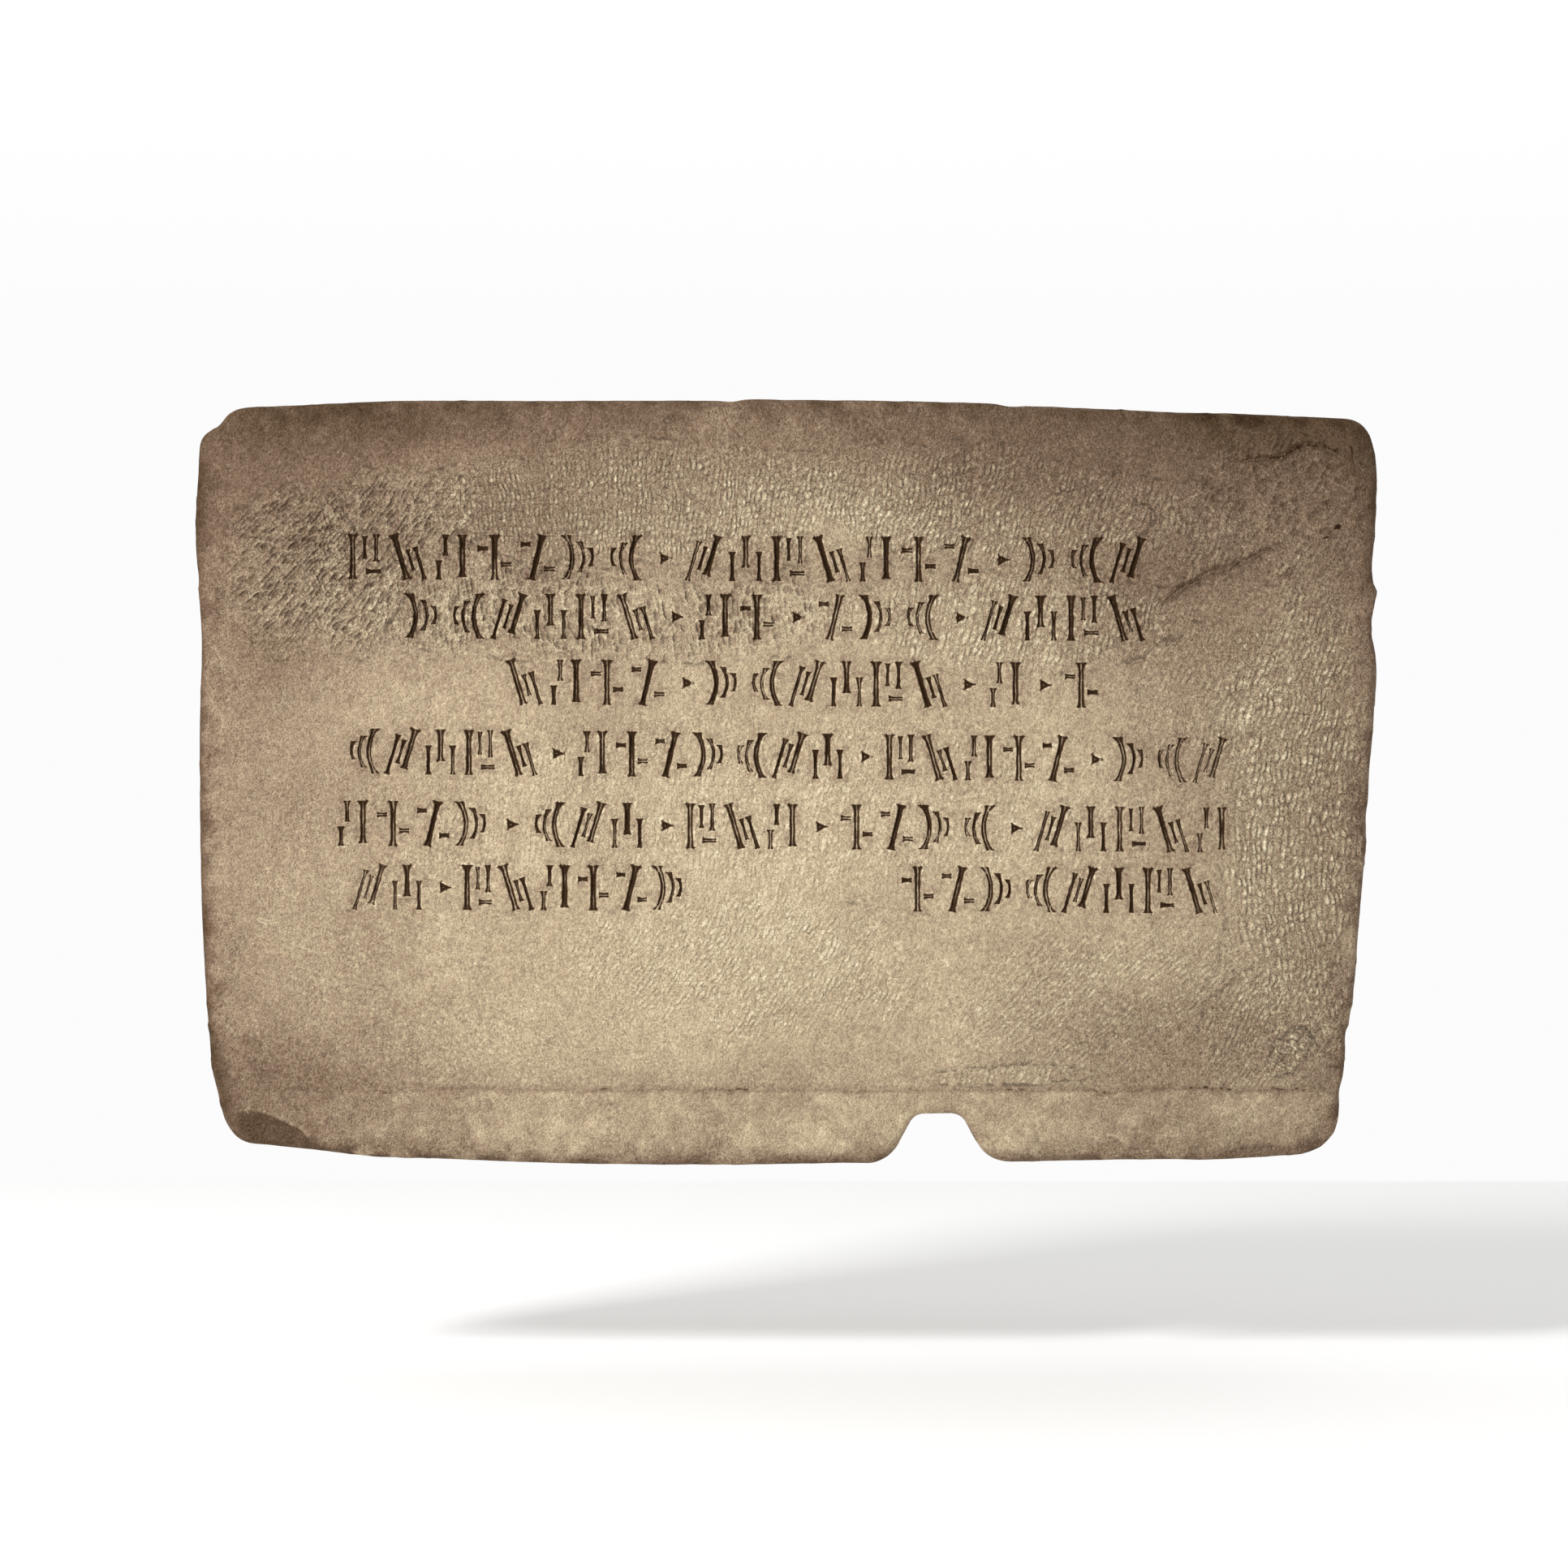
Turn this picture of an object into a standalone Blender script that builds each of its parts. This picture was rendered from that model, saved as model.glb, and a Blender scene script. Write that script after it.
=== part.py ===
"""Inscribed stone slab, made to be built into a wall.

One block of warm beige stone: a wide slab with worn, slightly bowed edges, rounded corners, a
chipped lower left edge and a flared notch cut right through its lower edge.  Six rows of shallow
V-cut strokes, in the place of an inscription, run across the front.  They stand in groups of
parallel marks that never meet, so no group is a letter.

Frame: X is the width, Z is up and the front faces -Y.  The origin lies on the flat back, at the
middle of the slab's width and height.  All sizes are in metres.
"""

import math
from typing import NamedTuple

import bmesh
import bpy
from mathutils import Vector

# Overall block
SLAB_WIDTH = 0.830
SLAB_HEIGHT = 0.539
THICKNESS = 0.070
FRONT_Y = -THICKNESS
FRONT_ARRIS = 0.0085           # width of the worn rounding along the front edges
FRONT_ARRIS_SEGMENTS = 3
BACK_ARRIS = 0.0025            # the back edges are only broken by a small flat

# The four sides, each a line with a slow bow or slant
TOP_PEAK_X = -0.090
TOP_PEAK_Z = SLAB_HEIGHT / 2 - 0.0006
TOP_BOW = 0.054                # drop per square metre away from the peak
LEFT_X = 0.0035 - SLAB_WIDTH / 2
LEFT_TURN_Z = -0.020           # the left side leans inwards below this height
LEFT_LEAN = 0.27
RIGHT_X = SLAB_WIDTH / 2 - 0.0015
RIGHT_TURN_Z = 0.080           # the right side leans inwards below this height
RIGHT_LEAN = 0.318
RIGHT_LEAN_POWER = 1.45
RIGHT_LEAN_DEPTH = 0.0264
LOW_POINT_X = -0.080
LOW_POINT_Z = 0.0006 - SLAB_HEIGHT / 2
LOW_BOW_LEFT = 0.17
LOW_BOW_RIGHT = 0.036

# Where the corner curves start and end on the sides
TOP_LEFT_ROUND = (-0.3700, 0.2330)
TOP_RIGHT_ROUND = (0.3920, 0.2200)
LOW_RIGHT_ROUND = (0.3520, -0.2320)
LOW_LEFT_ROUND = (-0.3740, -0.2240)
CORNER_STEPS = 9
CORNER_BREAK_AT = 0.45         # a flake is off the top left corner, this far along its curve
CORNER_BREAK_SPREAD = 0.22
CORNER_BREAK_DEPTH = 0.0062

# Notch through the lower edge
NOTCH_CENTRE = 0.1063
NOTCH_HEIGHT = 0.0360
NOTCH_TOP_WIDTH = 0.0320
NOTCH_MOUTH_WIDTH = 0.0700
NOTCH_TOP_RADIUS = 0.0110
NOTCH_SHOULDER_RADIUS = 0.0260
NOTCH_ARC_STEPS = 5

PLAIN_SPACING = 0.022          # distance between outline points where a side runs plain
CLOSEST_POINTS = 0.0018


class Wear(NamedTuple):
    """A nick (negative height) or a lump (positive) along a side, about its centre."""

    centre: float
    spread: float
    height: float


TOP_WEAR = (
    Wear(-0.2650, 0.0600, 0.0015),
    Wear(-0.0390, 0.0060, -0.0008),
    Wear(0.1570, 0.0080, -0.0007),
    Wear(0.2700, 0.0500, -0.0010),
)
TOP_LIP = (-0.0320, 0.1500)    # a low lip stands along the top edge between these places
TOP_LIP_HEIGHT = 0.0011
TOP_LIP_RUN = 0.0040
LEFT_WEAR = (
    Wear(0.1760, 0.0450, 0.0029),
    Wear(0.1440, 0.0060, -0.0007),
    Wear(0.0920, 0.0300, -0.0014),
    Wear(-0.1980, 0.0140, 0.0010),
    Wear(-0.2350, 0.0200, -0.0022),
)
RIGHT_WEAR = (
    Wear(0.2080, 0.0260, 0.0012),
    Wear(0.1500, 0.0160, -0.0022),
    Wear(0.1330, 0.0045, 0.0022),
    Wear(0.1080, 0.0130, -0.0028),
    Wear(0.0720, 0.0150, 0.0012),
    Wear(0.0060, 0.0200, -0.0010),
    Wear(-0.0240, 0.0080, -0.0012),
    Wear(-0.1400, 0.0200, 0.0012),
    Wear(-0.1780, 0.0090, -0.0014),
    Wear(-0.2170, 0.0080, -0.0016),
)
LOW_WEAR = (
    Wear(-0.2850, 0.0300, 0.0016),
    Wear(0.0400, 0.0260, -0.0008),
    Wear(0.3020, 0.0360, 0.0016),
)

# Chips and the smoother margin along the foot of the front
CHIP_CENTRE = (-0.3520, -0.2440)
CHIP_SIZE = (0.0400, 0.0150, 0.0210)
CHIP_DEPTH = 0.0065
CHIP_TURN = math.radians(-10)
MARGIN_LINE_Z = -0.2140
MARGIN_SPAN = (-0.2330, 0.3830)
MARGIN_DEPTH = 0.0007

# Carved rows
CAP_HEIGHT = 0.0310
STROKE_WIDTH = 0.0046
DASH_WIDTH = 0.0032
STROKE_DEPTH = 0.0020
DASH_DEPTH = 0.0014
HEAD_FLARE = 1.9               # a stroke is this many times wider at its head
FOOT_FLARE = 1.35
HEAD_FLARE_LENGTH = 0.0038
FOOT_FLARE_LENGTH = 0.0026
LONGEST_FLARE = 0.3            # share of a short stroke that either flare may take
CUTTER_PROUD = 0.0003          # how far a cutter stands in front of the slab
WORD_GAP = 0.85                # a gap between groups, in signs
SIGN_FILL = 0.78               # share of its place that a sign fills
POINT_SIZE = 0.0046


class Row(NamedTuple):
    """A carved row: its two ends, its foot line there, and how many signs each group has."""

    start: float
    end: float
    start_foot: float
    end_foot: float
    groups: tuple


ROWS = (
    Row(-0.3060, 0.2570, 0.1420, 0.1394, (7, 7, 3)),
    Row(-0.2650, 0.2560, 0.1005, 0.0988, (6, 2, 3, 4)),
    Row(-0.1940, 0.2240, 0.0544, 0.0519, (4, 6, 1, 1)),
    Row(-0.3070, 0.3130, 0.0060, -0.0008, (5, 7, 5, 3)),
    Row(-0.3140, 0.3150, -0.0444, -0.0492, (4, 3, 3, 4, 5)),
    Row(-0.3020, -0.0650, -0.0891, -0.0900, (2, 6)),
    Row(0.0810, 0.3070, -0.0905, -0.0919, (8,)),
)


class Sign(NamedTuple):
    """A group of parallel strokes.  Places and levels are shares of its cell's width and height.

    stems are (place, foot level, head level) and all share one lean and one bow.
    dashes are (start, end, level) and lie flat.
    """

    lean: float
    bow: float
    stems: tuple
    dashes: tuple


SIGNS = (
    Sign(0.00, 0.00, ((0.16, 0.00, 1.00), (0.74, 0.40, 1.00)), ((0.58, 0.94, 0.17),)),
    Sign(0.30, 0.00, ((0.24, 0.00, 0.88), (0.70, 0.12, 1.00)), ()),
    Sign(0.00, 0.15, ((0.10, 0.02, 1.00), (0.60, 0.18, 0.86)), ()),
    Sign(0.00, 0.00, ((0.50, 0.00, 1.00),), ((0.00, 0.30, 0.70), (0.70, 1.00, 0.34))),
    Sign(-0.30, 0.00, ((0.30, 0.00, 1.00), (0.76, 0.00, 0.72)), ()),
    Sign(0.00, 0.00, ((0.08, 0.00, 0.64), (0.48, 0.30, 1.00), (0.88, 0.00, 0.64)), ()),
    Sign(0.00, -0.15, ((0.38, 0.14, 0.84), (0.88, 0.00, 1.00)), ()),
    Sign(0.24, 0.00, ((0.48, 0.00, 1.00),), ((0.00, 0.28, 0.80), (0.70, 1.00, 0.24))),
    Sign(0.00, 0.00, ((0.12, 0.00, 0.42), (0.32, 0.54, 1.00), (0.82, 0.06, 1.00)), ()),
)
SIGN_STRIDE = 4                # the next sign in a row is this many kinds on
ROW_STRIDE = 2                 # and the next row starts this many kinds on


def bell(place, centre, spread):
    """A smooth hump: 1 at its centre, fading out over its spread."""
    return math.exp(-(((place - centre) / spread) ** 2))


def rise(place, centre, run):
    """A smooth step from 0 to 1 about its centre."""
    return 0.5 + 0.5 * math.tanh((place - centre) / run)


def worn(place, wear):
    """How far the nicks and lumps move a side outwards at a place along it."""
    return sum(mark.height * bell(place, mark.centre, mark.spread) for mark in wear)


def top_side(x):
    """The top edge bows up gently and carries a low lip near its middle."""
    lip = rise(x, TOP_LIP[0], TOP_LIP_RUN) - rise(x, TOP_LIP[1], TOP_LIP_RUN)
    z = TOP_PEAK_Z - TOP_BOW * (x - TOP_PEAK_X) ** 2 + TOP_LIP_HEIGHT * (lip - 1) + worn(x, TOP_WEAR)
    return Vector((x, z))


def left_side(z):
    """The left edge is upright, then leans in along a parabola towards its foot."""
    below = max(0.0, LEFT_TURN_Z - z)
    return Vector((LEFT_X + LEFT_LEAN * below ** 2 - worn(z, LEFT_WEAR), z))


def right_side(z):
    """The right edge is upright, then leans in along a power curve towards its foot."""
    below = max(0.0, RIGHT_TURN_Z - z) / RIGHT_LEAN
    lean = RIGHT_LEAN_DEPTH * below ** RIGHT_LEAN_POWER
    return Vector((RIGHT_X - lean + worn(z, RIGHT_WEAR), z))


def low_side(x):
    """The lower edge sags to a low point left of the middle."""
    bow = LOW_BOW_LEFT if x < LOW_POINT_X else LOW_BOW_RIGHT
    return Vector((x, LOW_POINT_Z + bow * (x - LOW_POINT_X) ** 2 - worn(x, LOW_WEAR)))


def side_points(side, start, end, wear):
    """Points along a side from start to end, closer together about each nick and lump."""
    count = max(1, round(abs(end - start) / PLAIN_SPACING))
    places = [start + (end - start) * step / count for step in range(count + 1)]
    for mark in wear:
        places += [mark.centre + mark.spread * share for share in (-1.6, -0.8, 0.0, 0.8, 1.6)]
    low, high = sorted((start, end))
    places = sorted((place for place in places if low <= place <= high), reverse=start > end)
    kept = places[:1]
    for place in places[1:-1]:
        if abs(place - kept[-1]) > CLOSEST_POINTS and abs(place - end) > CLOSEST_POINTS:
            kept.append(place)
    return [side(place) for place in kept + [end]]


def corner_points(start, start_tangent, end, end_tangent, break_depth=0.0):
    """A round corner: a quadratic curve drawn towards the crossing of its two tangents.

    Only the points between start and end are given.  break_depth flakes stone off one place.
    """
    turn = start_tangent.x * end_tangent.y - start_tangent.y * end_tangent.x
    gap = end - start
    reach = (gap.x * end_tangent.y - gap.y * end_tangent.x) / turn
    apex = start + start_tangent * reach
    inward = ((start + end) / 2 - apex).normalized()
    points = []
    for step in range(1, CORNER_STEPS):
        share = step / CORNER_STEPS
        point = start * (1 - share) ** 2 + apex * 2 * share * (1 - share) + end * share ** 2
        points.append(point + inward * break_depth * bell(share, CORNER_BREAK_AT, CORNER_BREAK_SPREAD))
    return points


def rounded(corners, radii, steps):
    """A path through corners, each turned into an arc of its radius."""
    points = []
    for before, corner, after, radius in zip(corners, corners[1:], corners[2:], radii):
        inward = (before - corner).normalized()
        onward = (after - corner).normalized()
        half = inward.angle(onward) / 2
        middle = corner + (inward + onward).normalized() * (radius / math.sin(half))
        from_centre = corner + inward * (radius / math.tan(half)) - middle
        sweep = math.pi - 2 * half
        if from_centre.x * onward.y - from_centre.y * onward.x < 0:
            sweep = -sweep
        for step in range(steps + 1):
            angle = sweep * step / steps
            cosine, sine = math.cos(angle), math.sin(angle)
            turned = Vector((
                from_centre.x * cosine - from_centre.y * sine,
                from_centre.x * sine + from_centre.y * cosine,
            ))
            points.append(middle + turned)
    return points


def notch_points():
    """The notch, from left to right: a trapezium with every corner rounded."""
    top_half = NOTCH_TOP_WIDTH / 2
    mouth_half = NOTCH_MOUTH_WIDTH / 2
    top_z = LOW_POINT_Z + NOTCH_HEIGHT
    reach = mouth_half + 2 * NOTCH_SHOULDER_RADIUS
    corners = [
        low_side(NOTCH_CENTRE - reach),
        low_side(NOTCH_CENTRE - mouth_half),
        Vector((NOTCH_CENTRE - top_half, top_z)),
        Vector((NOTCH_CENTRE + top_half, top_z)),
        low_side(NOTCH_CENTRE + mouth_half),
        low_side(NOTCH_CENTRE + reach),
    ]
    radii = (NOTCH_SHOULDER_RADIUS, NOTCH_TOP_RADIUS, NOTCH_TOP_RADIUS, NOTCH_SHOULDER_RADIUS)
    return rounded(corners, radii, NOTCH_ARC_STEPS)


def tangent(side, place, step):
    """The direction in which a side runs at a place, found over a short step."""
    return (side(place + step) - side(place)).normalized()


def slab_outline():
    """The closed outline, in (x, z), running up the left, along the top and down the right."""
    step = 0.001
    left = side_points(left_side, LOW_LEFT_ROUND[1], TOP_LEFT_ROUND[1], LEFT_WEAR)
    top = side_points(top_side, TOP_LEFT_ROUND[0], TOP_RIGHT_ROUND[0], TOP_WEAR)
    right = side_points(right_side, TOP_RIGHT_ROUND[1], LOW_RIGHT_ROUND[1], RIGHT_WEAR)
    notch = notch_points()
    low_right = side_points(low_side, LOW_RIGHT_ROUND[0], notch[-1].x, LOW_WEAR)
    low_left = side_points(low_side, notch[0].x, LOW_LEFT_ROUND[0], LOW_WEAR)

    up = tangent(left_side, TOP_LEFT_ROUND[1], step)
    along = tangent(top_side, TOP_LEFT_ROUND[0], step)
    top_left = corner_points(left[-1], up, top[0], along, CORNER_BREAK_DEPTH)
    along = tangent(top_side, TOP_RIGHT_ROUND[0], step)
    down = tangent(right_side, TOP_RIGHT_ROUND[1], -step)
    top_right = corner_points(top[-1], along, right[0], down)
    down = tangent(right_side, LOW_RIGHT_ROUND[1], -step)
    back = tangent(low_side, LOW_RIGHT_ROUND[0], -step)
    low_right_corner = corner_points(right[-1], down, low_right[0], back)
    back = tangent(low_side, LOW_LEFT_ROUND[0], -step)
    up = tangent(left_side, LOW_LEFT_ROUND[1], step)
    low_left_corner = corner_points(low_left[-1], back, left[0], up)

    return (left + top_left + top + top_right + right + low_right_corner
            + low_right[:-1] + notch[::-1] + low_left[1:] + low_left_corner)


def clear_scene():
    """Remove every object, so that the script can be run again."""
    for old in list(bpy.data.objects):
        bpy.data.objects.remove(old, do_unlink=True)


def new_collection(name):
    """A collection linked to the scene."""
    collection = bpy.data.collections.new(name)
    bpy.context.scene.collection.children.link(collection)
    return collection


def stone_material():
    """Warm beige stone, matt."""
    material = bpy.data.materials.new("warm_beige_stone")
    material.use_nodes = True
    shader = material.node_tree.nodes["Principled BSDF"]
    shader.inputs["Base Color"].default_value = (0.42, 0.33, 0.22, 1.0)
    shader.inputs["Roughness"].default_value = 0.85
    shader.inputs["Metallic"].default_value = 0.0
    return material


def block_mesh(outline):
    """The outline as a flat filled curve, thickened to the slab, and turned upright as a mesh."""
    curve = bpy.data.curves.new("slab_outline", "CURVE")
    curve.dimensions = "2D"
    curve.fill_mode = "BOTH"
    curve.extrude = THICKNESS / 2
    spline = curve.splines.new("POLY")
    spline.points.add(len(outline) - 1)
    spline.use_cyclic_u = True
    for point, place in zip(spline.points, outline):
        point.co = (place.x, place.y, 0.0, 1.0)
    guide = bpy.data.objects.new("slab_outline", curve)
    guide.rotation_euler = (math.pi / 2, 0.0, 0.0)
    guide.location = (0.0, FRONT_Y / 2, 0.0)
    bpy.context.scene.collection.objects.link(guide)
    bpy.context.view_layer.update()
    evaluated = guide.evaluated_get(bpy.context.evaluated_depsgraph_get())
    mesh = bpy.data.meshes.new_from_object(evaluated)
    matrix = guide.matrix_world.copy()
    bpy.data.objects.remove(guide, do_unlink=True)

    tidy = bmesh.new()
    tidy.from_mesh(mesh)
    bmesh.ops.remove_doubles(tidy, verts=tidy.verts, dist=0.00001)
    bmesh.ops.recalc_face_normals(tidy, faces=tidy.faces)
    inner = [
        edge for edge in tidy.edges
        if len(edge.link_faces) == 2 and all(abs(face.normal.z) > 0.9 for face in edge.link_faces)
    ]
    bmesh.ops.dissolve_edges(tidy, edges=inner)
    tidy.to_mesh(mesh)
    tidy.free()
    return mesh, matrix


def wear_edges(slab, name, vertices, width, segments):
    """Round or break the ring of edges that runs through the given vertices."""
    slab.vertex_groups.new(name=name).add(vertices, 1.0, "REPLACE")
    arris = slab.modifiers.new(name, "BEVEL")
    arris.limit_method = "VGROUP"
    arris.vertex_group = name
    arris.width = width
    arris.segments = segments
    arris.profile = 0.5
    arris.use_clamp_overlap = False


def make_block(collection, material):
    """The plain block with its worn edges."""
    mesh, matrix = block_mesh(slab_outline())
    slab = bpy.data.objects.new("slab", mesh)
    slab.matrix_world = matrix
    collection.objects.link(slab)
    mesh.name = "slab"
    mesh.materials.clear()
    mesh.materials.append(material)
    front = [vertex.index for vertex in mesh.vertices if vertex.co.z > 0]
    back = [vertex.index for vertex in mesh.vertices if vertex.co.z < 0]
    wear_edges(slab, "front_arris", front, FRONT_ARRIS, FRONT_ARRIS_SEGMENTS)
    wear_edges(slab, "back_arris", back, BACK_ARRIS, 1)
    return slab


def cut(slab, cutter):
    """Take a cutter's shape out of the slab, and hide the cutter."""
    cutter.hide_render = True
    cutter.display_type = "WIRE"
    boolean = slab.modifiers.new(cutter.name, "BOOLEAN")
    boolean.operation = "DIFFERENCE"
    boolean.solver = "EXACT"
    boolean.object = cutter


def chip_cutter(collection):
    """A flattened ball that scoops a shallow hollow from the lower left edge."""
    mesh = bpy.data.meshes.new("edge_chip_cutter")
    ball = bmesh.new()
    bmesh.ops.create_uvsphere(ball, u_segments=16, v_segments=10, radius=1.0)
    ball.to_mesh(mesh)
    ball.free()
    chip = bpy.data.objects.new("edge_chip_cutter", mesh)
    chip.scale = CHIP_SIZE
    chip.rotation_euler = (0.0, CHIP_TURN, 0.0)
    chip.location = (CHIP_CENTRE[0], FRONT_Y + CHIP_DEPTH - CHIP_SIZE[1], CHIP_CENTRE[1])
    collection.objects.link(chip)
    return chip


def margin_cutter(collection):
    """A box that takes the foot of the front back a little, below the dressed field."""
    mesh = bpy.data.meshes.new("margin_cutter")
    box = bmesh.new()
    bmesh.ops.create_cube(box, size=1.0)
    box.to_mesh(mesh)
    box.free()
    cutter = bpy.data.objects.new("margin_cutter", mesh)
    height = MARGIN_LINE_Z + SLAB_HEIGHT / 2 + CUTTER_PROUD
    depth = 2 * CUTTER_PROUD
    cutter.scale = (MARGIN_SPAN[1] - MARGIN_SPAN[0], depth, height)
    middle_x = (MARGIN_SPAN[0] + MARGIN_SPAN[1]) / 2
    cutter.location = (middle_x, FRONT_Y + MARGIN_DEPTH - depth / 2, MARGIN_LINE_Z - height / 2)
    collection.objects.link(cutter)
    return cutter


def add_stroke(mesh, foot, head, bow, width, depth):
    """Add one V-cut stroke: a loft of triangular sections whose ends flare and run out.

    foot and head are (x, z).  bow is how far the stroke's middle stands to its right.
    Every rim point lies on the line from its keel point through the slab's face, carried on to
    the cutter's front, so that the walls keep one slope.
    """
    along = head - foot
    length = along.length
    along.normalize()
    across = Vector((along.y, -along.x))
    foot_end = min(FOOT_FLARE_LENGTH / length, LONGEST_FLARE)
    head_end = 1 - min(HEAD_FLARE_LENGTH / length, LONGEST_FLARE)
    inner = [foot_end, (foot_end + head_end) / 2, head_end] if bow else [foot_end, head_end]
    shares = [0.0] + inner + [1.0]
    halves = [FOOT_FLARE * width / 2] + [width / 2] * len(inner) + [HEAD_FLARE * width / 2]
    proud = CUTTER_PROUD / depth
    centres = [
        foot + along * length * share + across * bow * 4 * share * (1 - share) for share in shares
    ]
    keel_places = [centres[1]] + centres[1:-1] + [centres[-2]]
    rims = {1: [], -1: []}
    for centre, keel, half in zip(centres, keel_places, halves):
        for sign in (1, -1):
            rim = centre + across * half * sign
            rim += (rim - keel) * proud
            rims[sign].append(mesh.verts.new((rim.x, FRONT_Y - CUTTER_PROUD, rim.y)))
    keels = [mesh.verts.new((place.x, FRONT_Y + depth, place.y)) for place in centres[1:-1]]
    right, left = rims[1], rims[-1]
    mesh.faces.new(right + left[::-1])
    mesh.faces.new((left[0], keels[0], right[0]))
    mesh.faces.new((right[-1], keels[-1], left[-1]))
    for side in (left, right):
        mesh.faces.new((side[0], side[1], keels[0]))
        mesh.faces.new((side[-1], side[-2], keels[-1]))
        for index in range(len(keels) - 1):
            mesh.faces.new((side[index + 1], side[index + 2], keels[index + 1], keels[index]))


def add_point(mesh, centre, size):
    """Add one dividing point: a three-sided pit with its tip to the right."""
    proud = 1 + CUTTER_PROUD / DASH_DEPTH
    rim = []
    for corner in range(3):
        angle = math.tau * corner / 3
        reach = size * (1.25 if corner == 0 else 0.9) * proud
        place = (centre.x + reach * math.cos(angle), FRONT_Y - CUTTER_PROUD,
                 centre.y + reach * math.sin(angle))
        rim.append(mesh.verts.new(place))
    keel = mesh.verts.new((centre.x, FRONT_Y + DASH_DEPTH, centre.y))
    mesh.faces.new(rim)
    for corner in range(3):
        mesh.faces.new((rim[corner - 1], rim[corner], keel))


def sign_strokes(sign, x, foot_z, width):
    """The strokes of a sign as (foot, head, bow, width, depth), in the slab's frame."""
    strokes = []
    for place, low, high in sign.stems:
        middle = (low + high) / 2
        run = sign.lean * CAP_HEIGHT
        foot = Vector((x + place * width + run * (low - middle), foot_z + low * CAP_HEIGHT))
        head = Vector((x + place * width + run * (high - middle), foot_z + high * CAP_HEIGHT))
        bow = sign.bow * (high - low) * CAP_HEIGHT
        strokes.append((foot, head, bow, STROKE_WIDTH, STROKE_DEPTH))
    for start, end, level in sign.dashes:
        height = foot_z + level * CAP_HEIGHT
        foot = Vector((x + end * width, height))
        head = Vector((x + start * width, height))
        strokes.append((foot, head, 0.0, DASH_WIDTH, DASH_DEPTH))
    return strokes


def carved_rows():
    """Every stroke and every dividing point of the rows, worked out from ROWS and SIGNS."""
    strokes = []
    points = []
    for row_number, row in enumerate(ROWS):
        places = sum(row.groups) + WORD_GAP * (len(row.groups) - 1)
        pitch = (row.end - row.start) / places
        slope = (row.end_foot - row.start_foot) / (row.end - row.start)
        kind = row_number * ROW_STRIDE
        x = row.start
        for group_number, group in enumerate(row.groups):
            if group_number:
                middle = x + pitch * (WORD_GAP - 1 + SIGN_FILL) / 2
                height = row.start_foot + slope * (middle - row.start) + CAP_HEIGHT / 2
                points.append(Vector((middle, height)))
                x += pitch * WORD_GAP
            for _ in range(group):
                foot_z = row.start_foot + slope * (x - row.start)
                sign = SIGNS[kind % len(SIGNS)]
                strokes += sign_strokes(sign, x, foot_z, pitch * SIGN_FILL)
                kind += SIGN_STRIDE
                x += pitch
    return strokes, points


def row_cutter(collection):
    """All the strokes and dividing points, as one cutter of many separate wedges."""
    strokes, points = carved_rows()
    wedges = bmesh.new()
    for stroke in strokes:
        add_stroke(wedges, *stroke)
    for point in points:
        add_point(wedges, point, POINT_SIZE)
    bmesh.ops.recalc_face_normals(wedges, faces=wedges.faces)
    mesh = bpy.data.meshes.new("carved_row_cutter")
    wedges.to_mesh(mesh)
    wedges.free()
    cutter = bpy.data.objects.new("carved_row_cutter", mesh)
    collection.objects.link(cutter)
    return cutter


def main():
    """Build the slab and its cutters."""
    clear_scene()
    stone = new_collection("inscribed_slab")
    cutters = new_collection("cutters")
    slab = make_block(stone, stone_material())
    cut(slab, margin_cutter(cutters))
    cut(slab, chip_cutter(cutters))
    cut(slab, row_cutter(cutters))


main()
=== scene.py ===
"""Looks of the inscribed stone slab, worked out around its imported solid.

The slab is one closed surface.  Rings carried round its outline make the sides and the worn
edges, and nets of triangles close the front and the back.  On the front every carved stroke,
crack and deeper chisel tick brings its own few points with its own depth, an even scatter fills
the ground between them, and a Delaunay net joins them all, because an even grid fine enough for
the V-cuts would need millions of faces.  The other ticks are bump in the material.

Frame: X is the width, Z is up and the front faces -Y.  All sizes are in metres.
"""

import itertools
import logging
import math
from dataclasses import dataclass, field
from enum import Enum
from functools import partial, reduce

import bpy
import numpy as np
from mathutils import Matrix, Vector
from mathutils.geometry import delaunay_2d_cdt


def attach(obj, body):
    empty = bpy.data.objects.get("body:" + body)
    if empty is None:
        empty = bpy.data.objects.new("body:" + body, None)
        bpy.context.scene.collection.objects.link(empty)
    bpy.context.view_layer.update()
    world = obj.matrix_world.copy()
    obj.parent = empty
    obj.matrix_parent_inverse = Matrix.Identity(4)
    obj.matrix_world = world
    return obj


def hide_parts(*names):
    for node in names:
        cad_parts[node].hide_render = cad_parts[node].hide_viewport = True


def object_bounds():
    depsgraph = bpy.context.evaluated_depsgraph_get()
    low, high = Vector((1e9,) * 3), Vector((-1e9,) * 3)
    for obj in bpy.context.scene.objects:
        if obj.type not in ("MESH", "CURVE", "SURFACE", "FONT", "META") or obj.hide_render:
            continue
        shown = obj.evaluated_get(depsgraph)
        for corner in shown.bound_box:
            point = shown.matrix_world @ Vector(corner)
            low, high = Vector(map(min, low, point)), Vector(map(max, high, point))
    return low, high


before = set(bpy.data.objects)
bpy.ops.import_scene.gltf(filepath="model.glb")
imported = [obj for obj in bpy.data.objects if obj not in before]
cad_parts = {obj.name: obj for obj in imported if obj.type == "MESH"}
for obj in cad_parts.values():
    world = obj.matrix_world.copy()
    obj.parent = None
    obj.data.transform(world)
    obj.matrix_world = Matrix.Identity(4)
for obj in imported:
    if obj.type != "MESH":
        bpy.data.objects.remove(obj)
CAD_LOW, CAD_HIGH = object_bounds()

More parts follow.
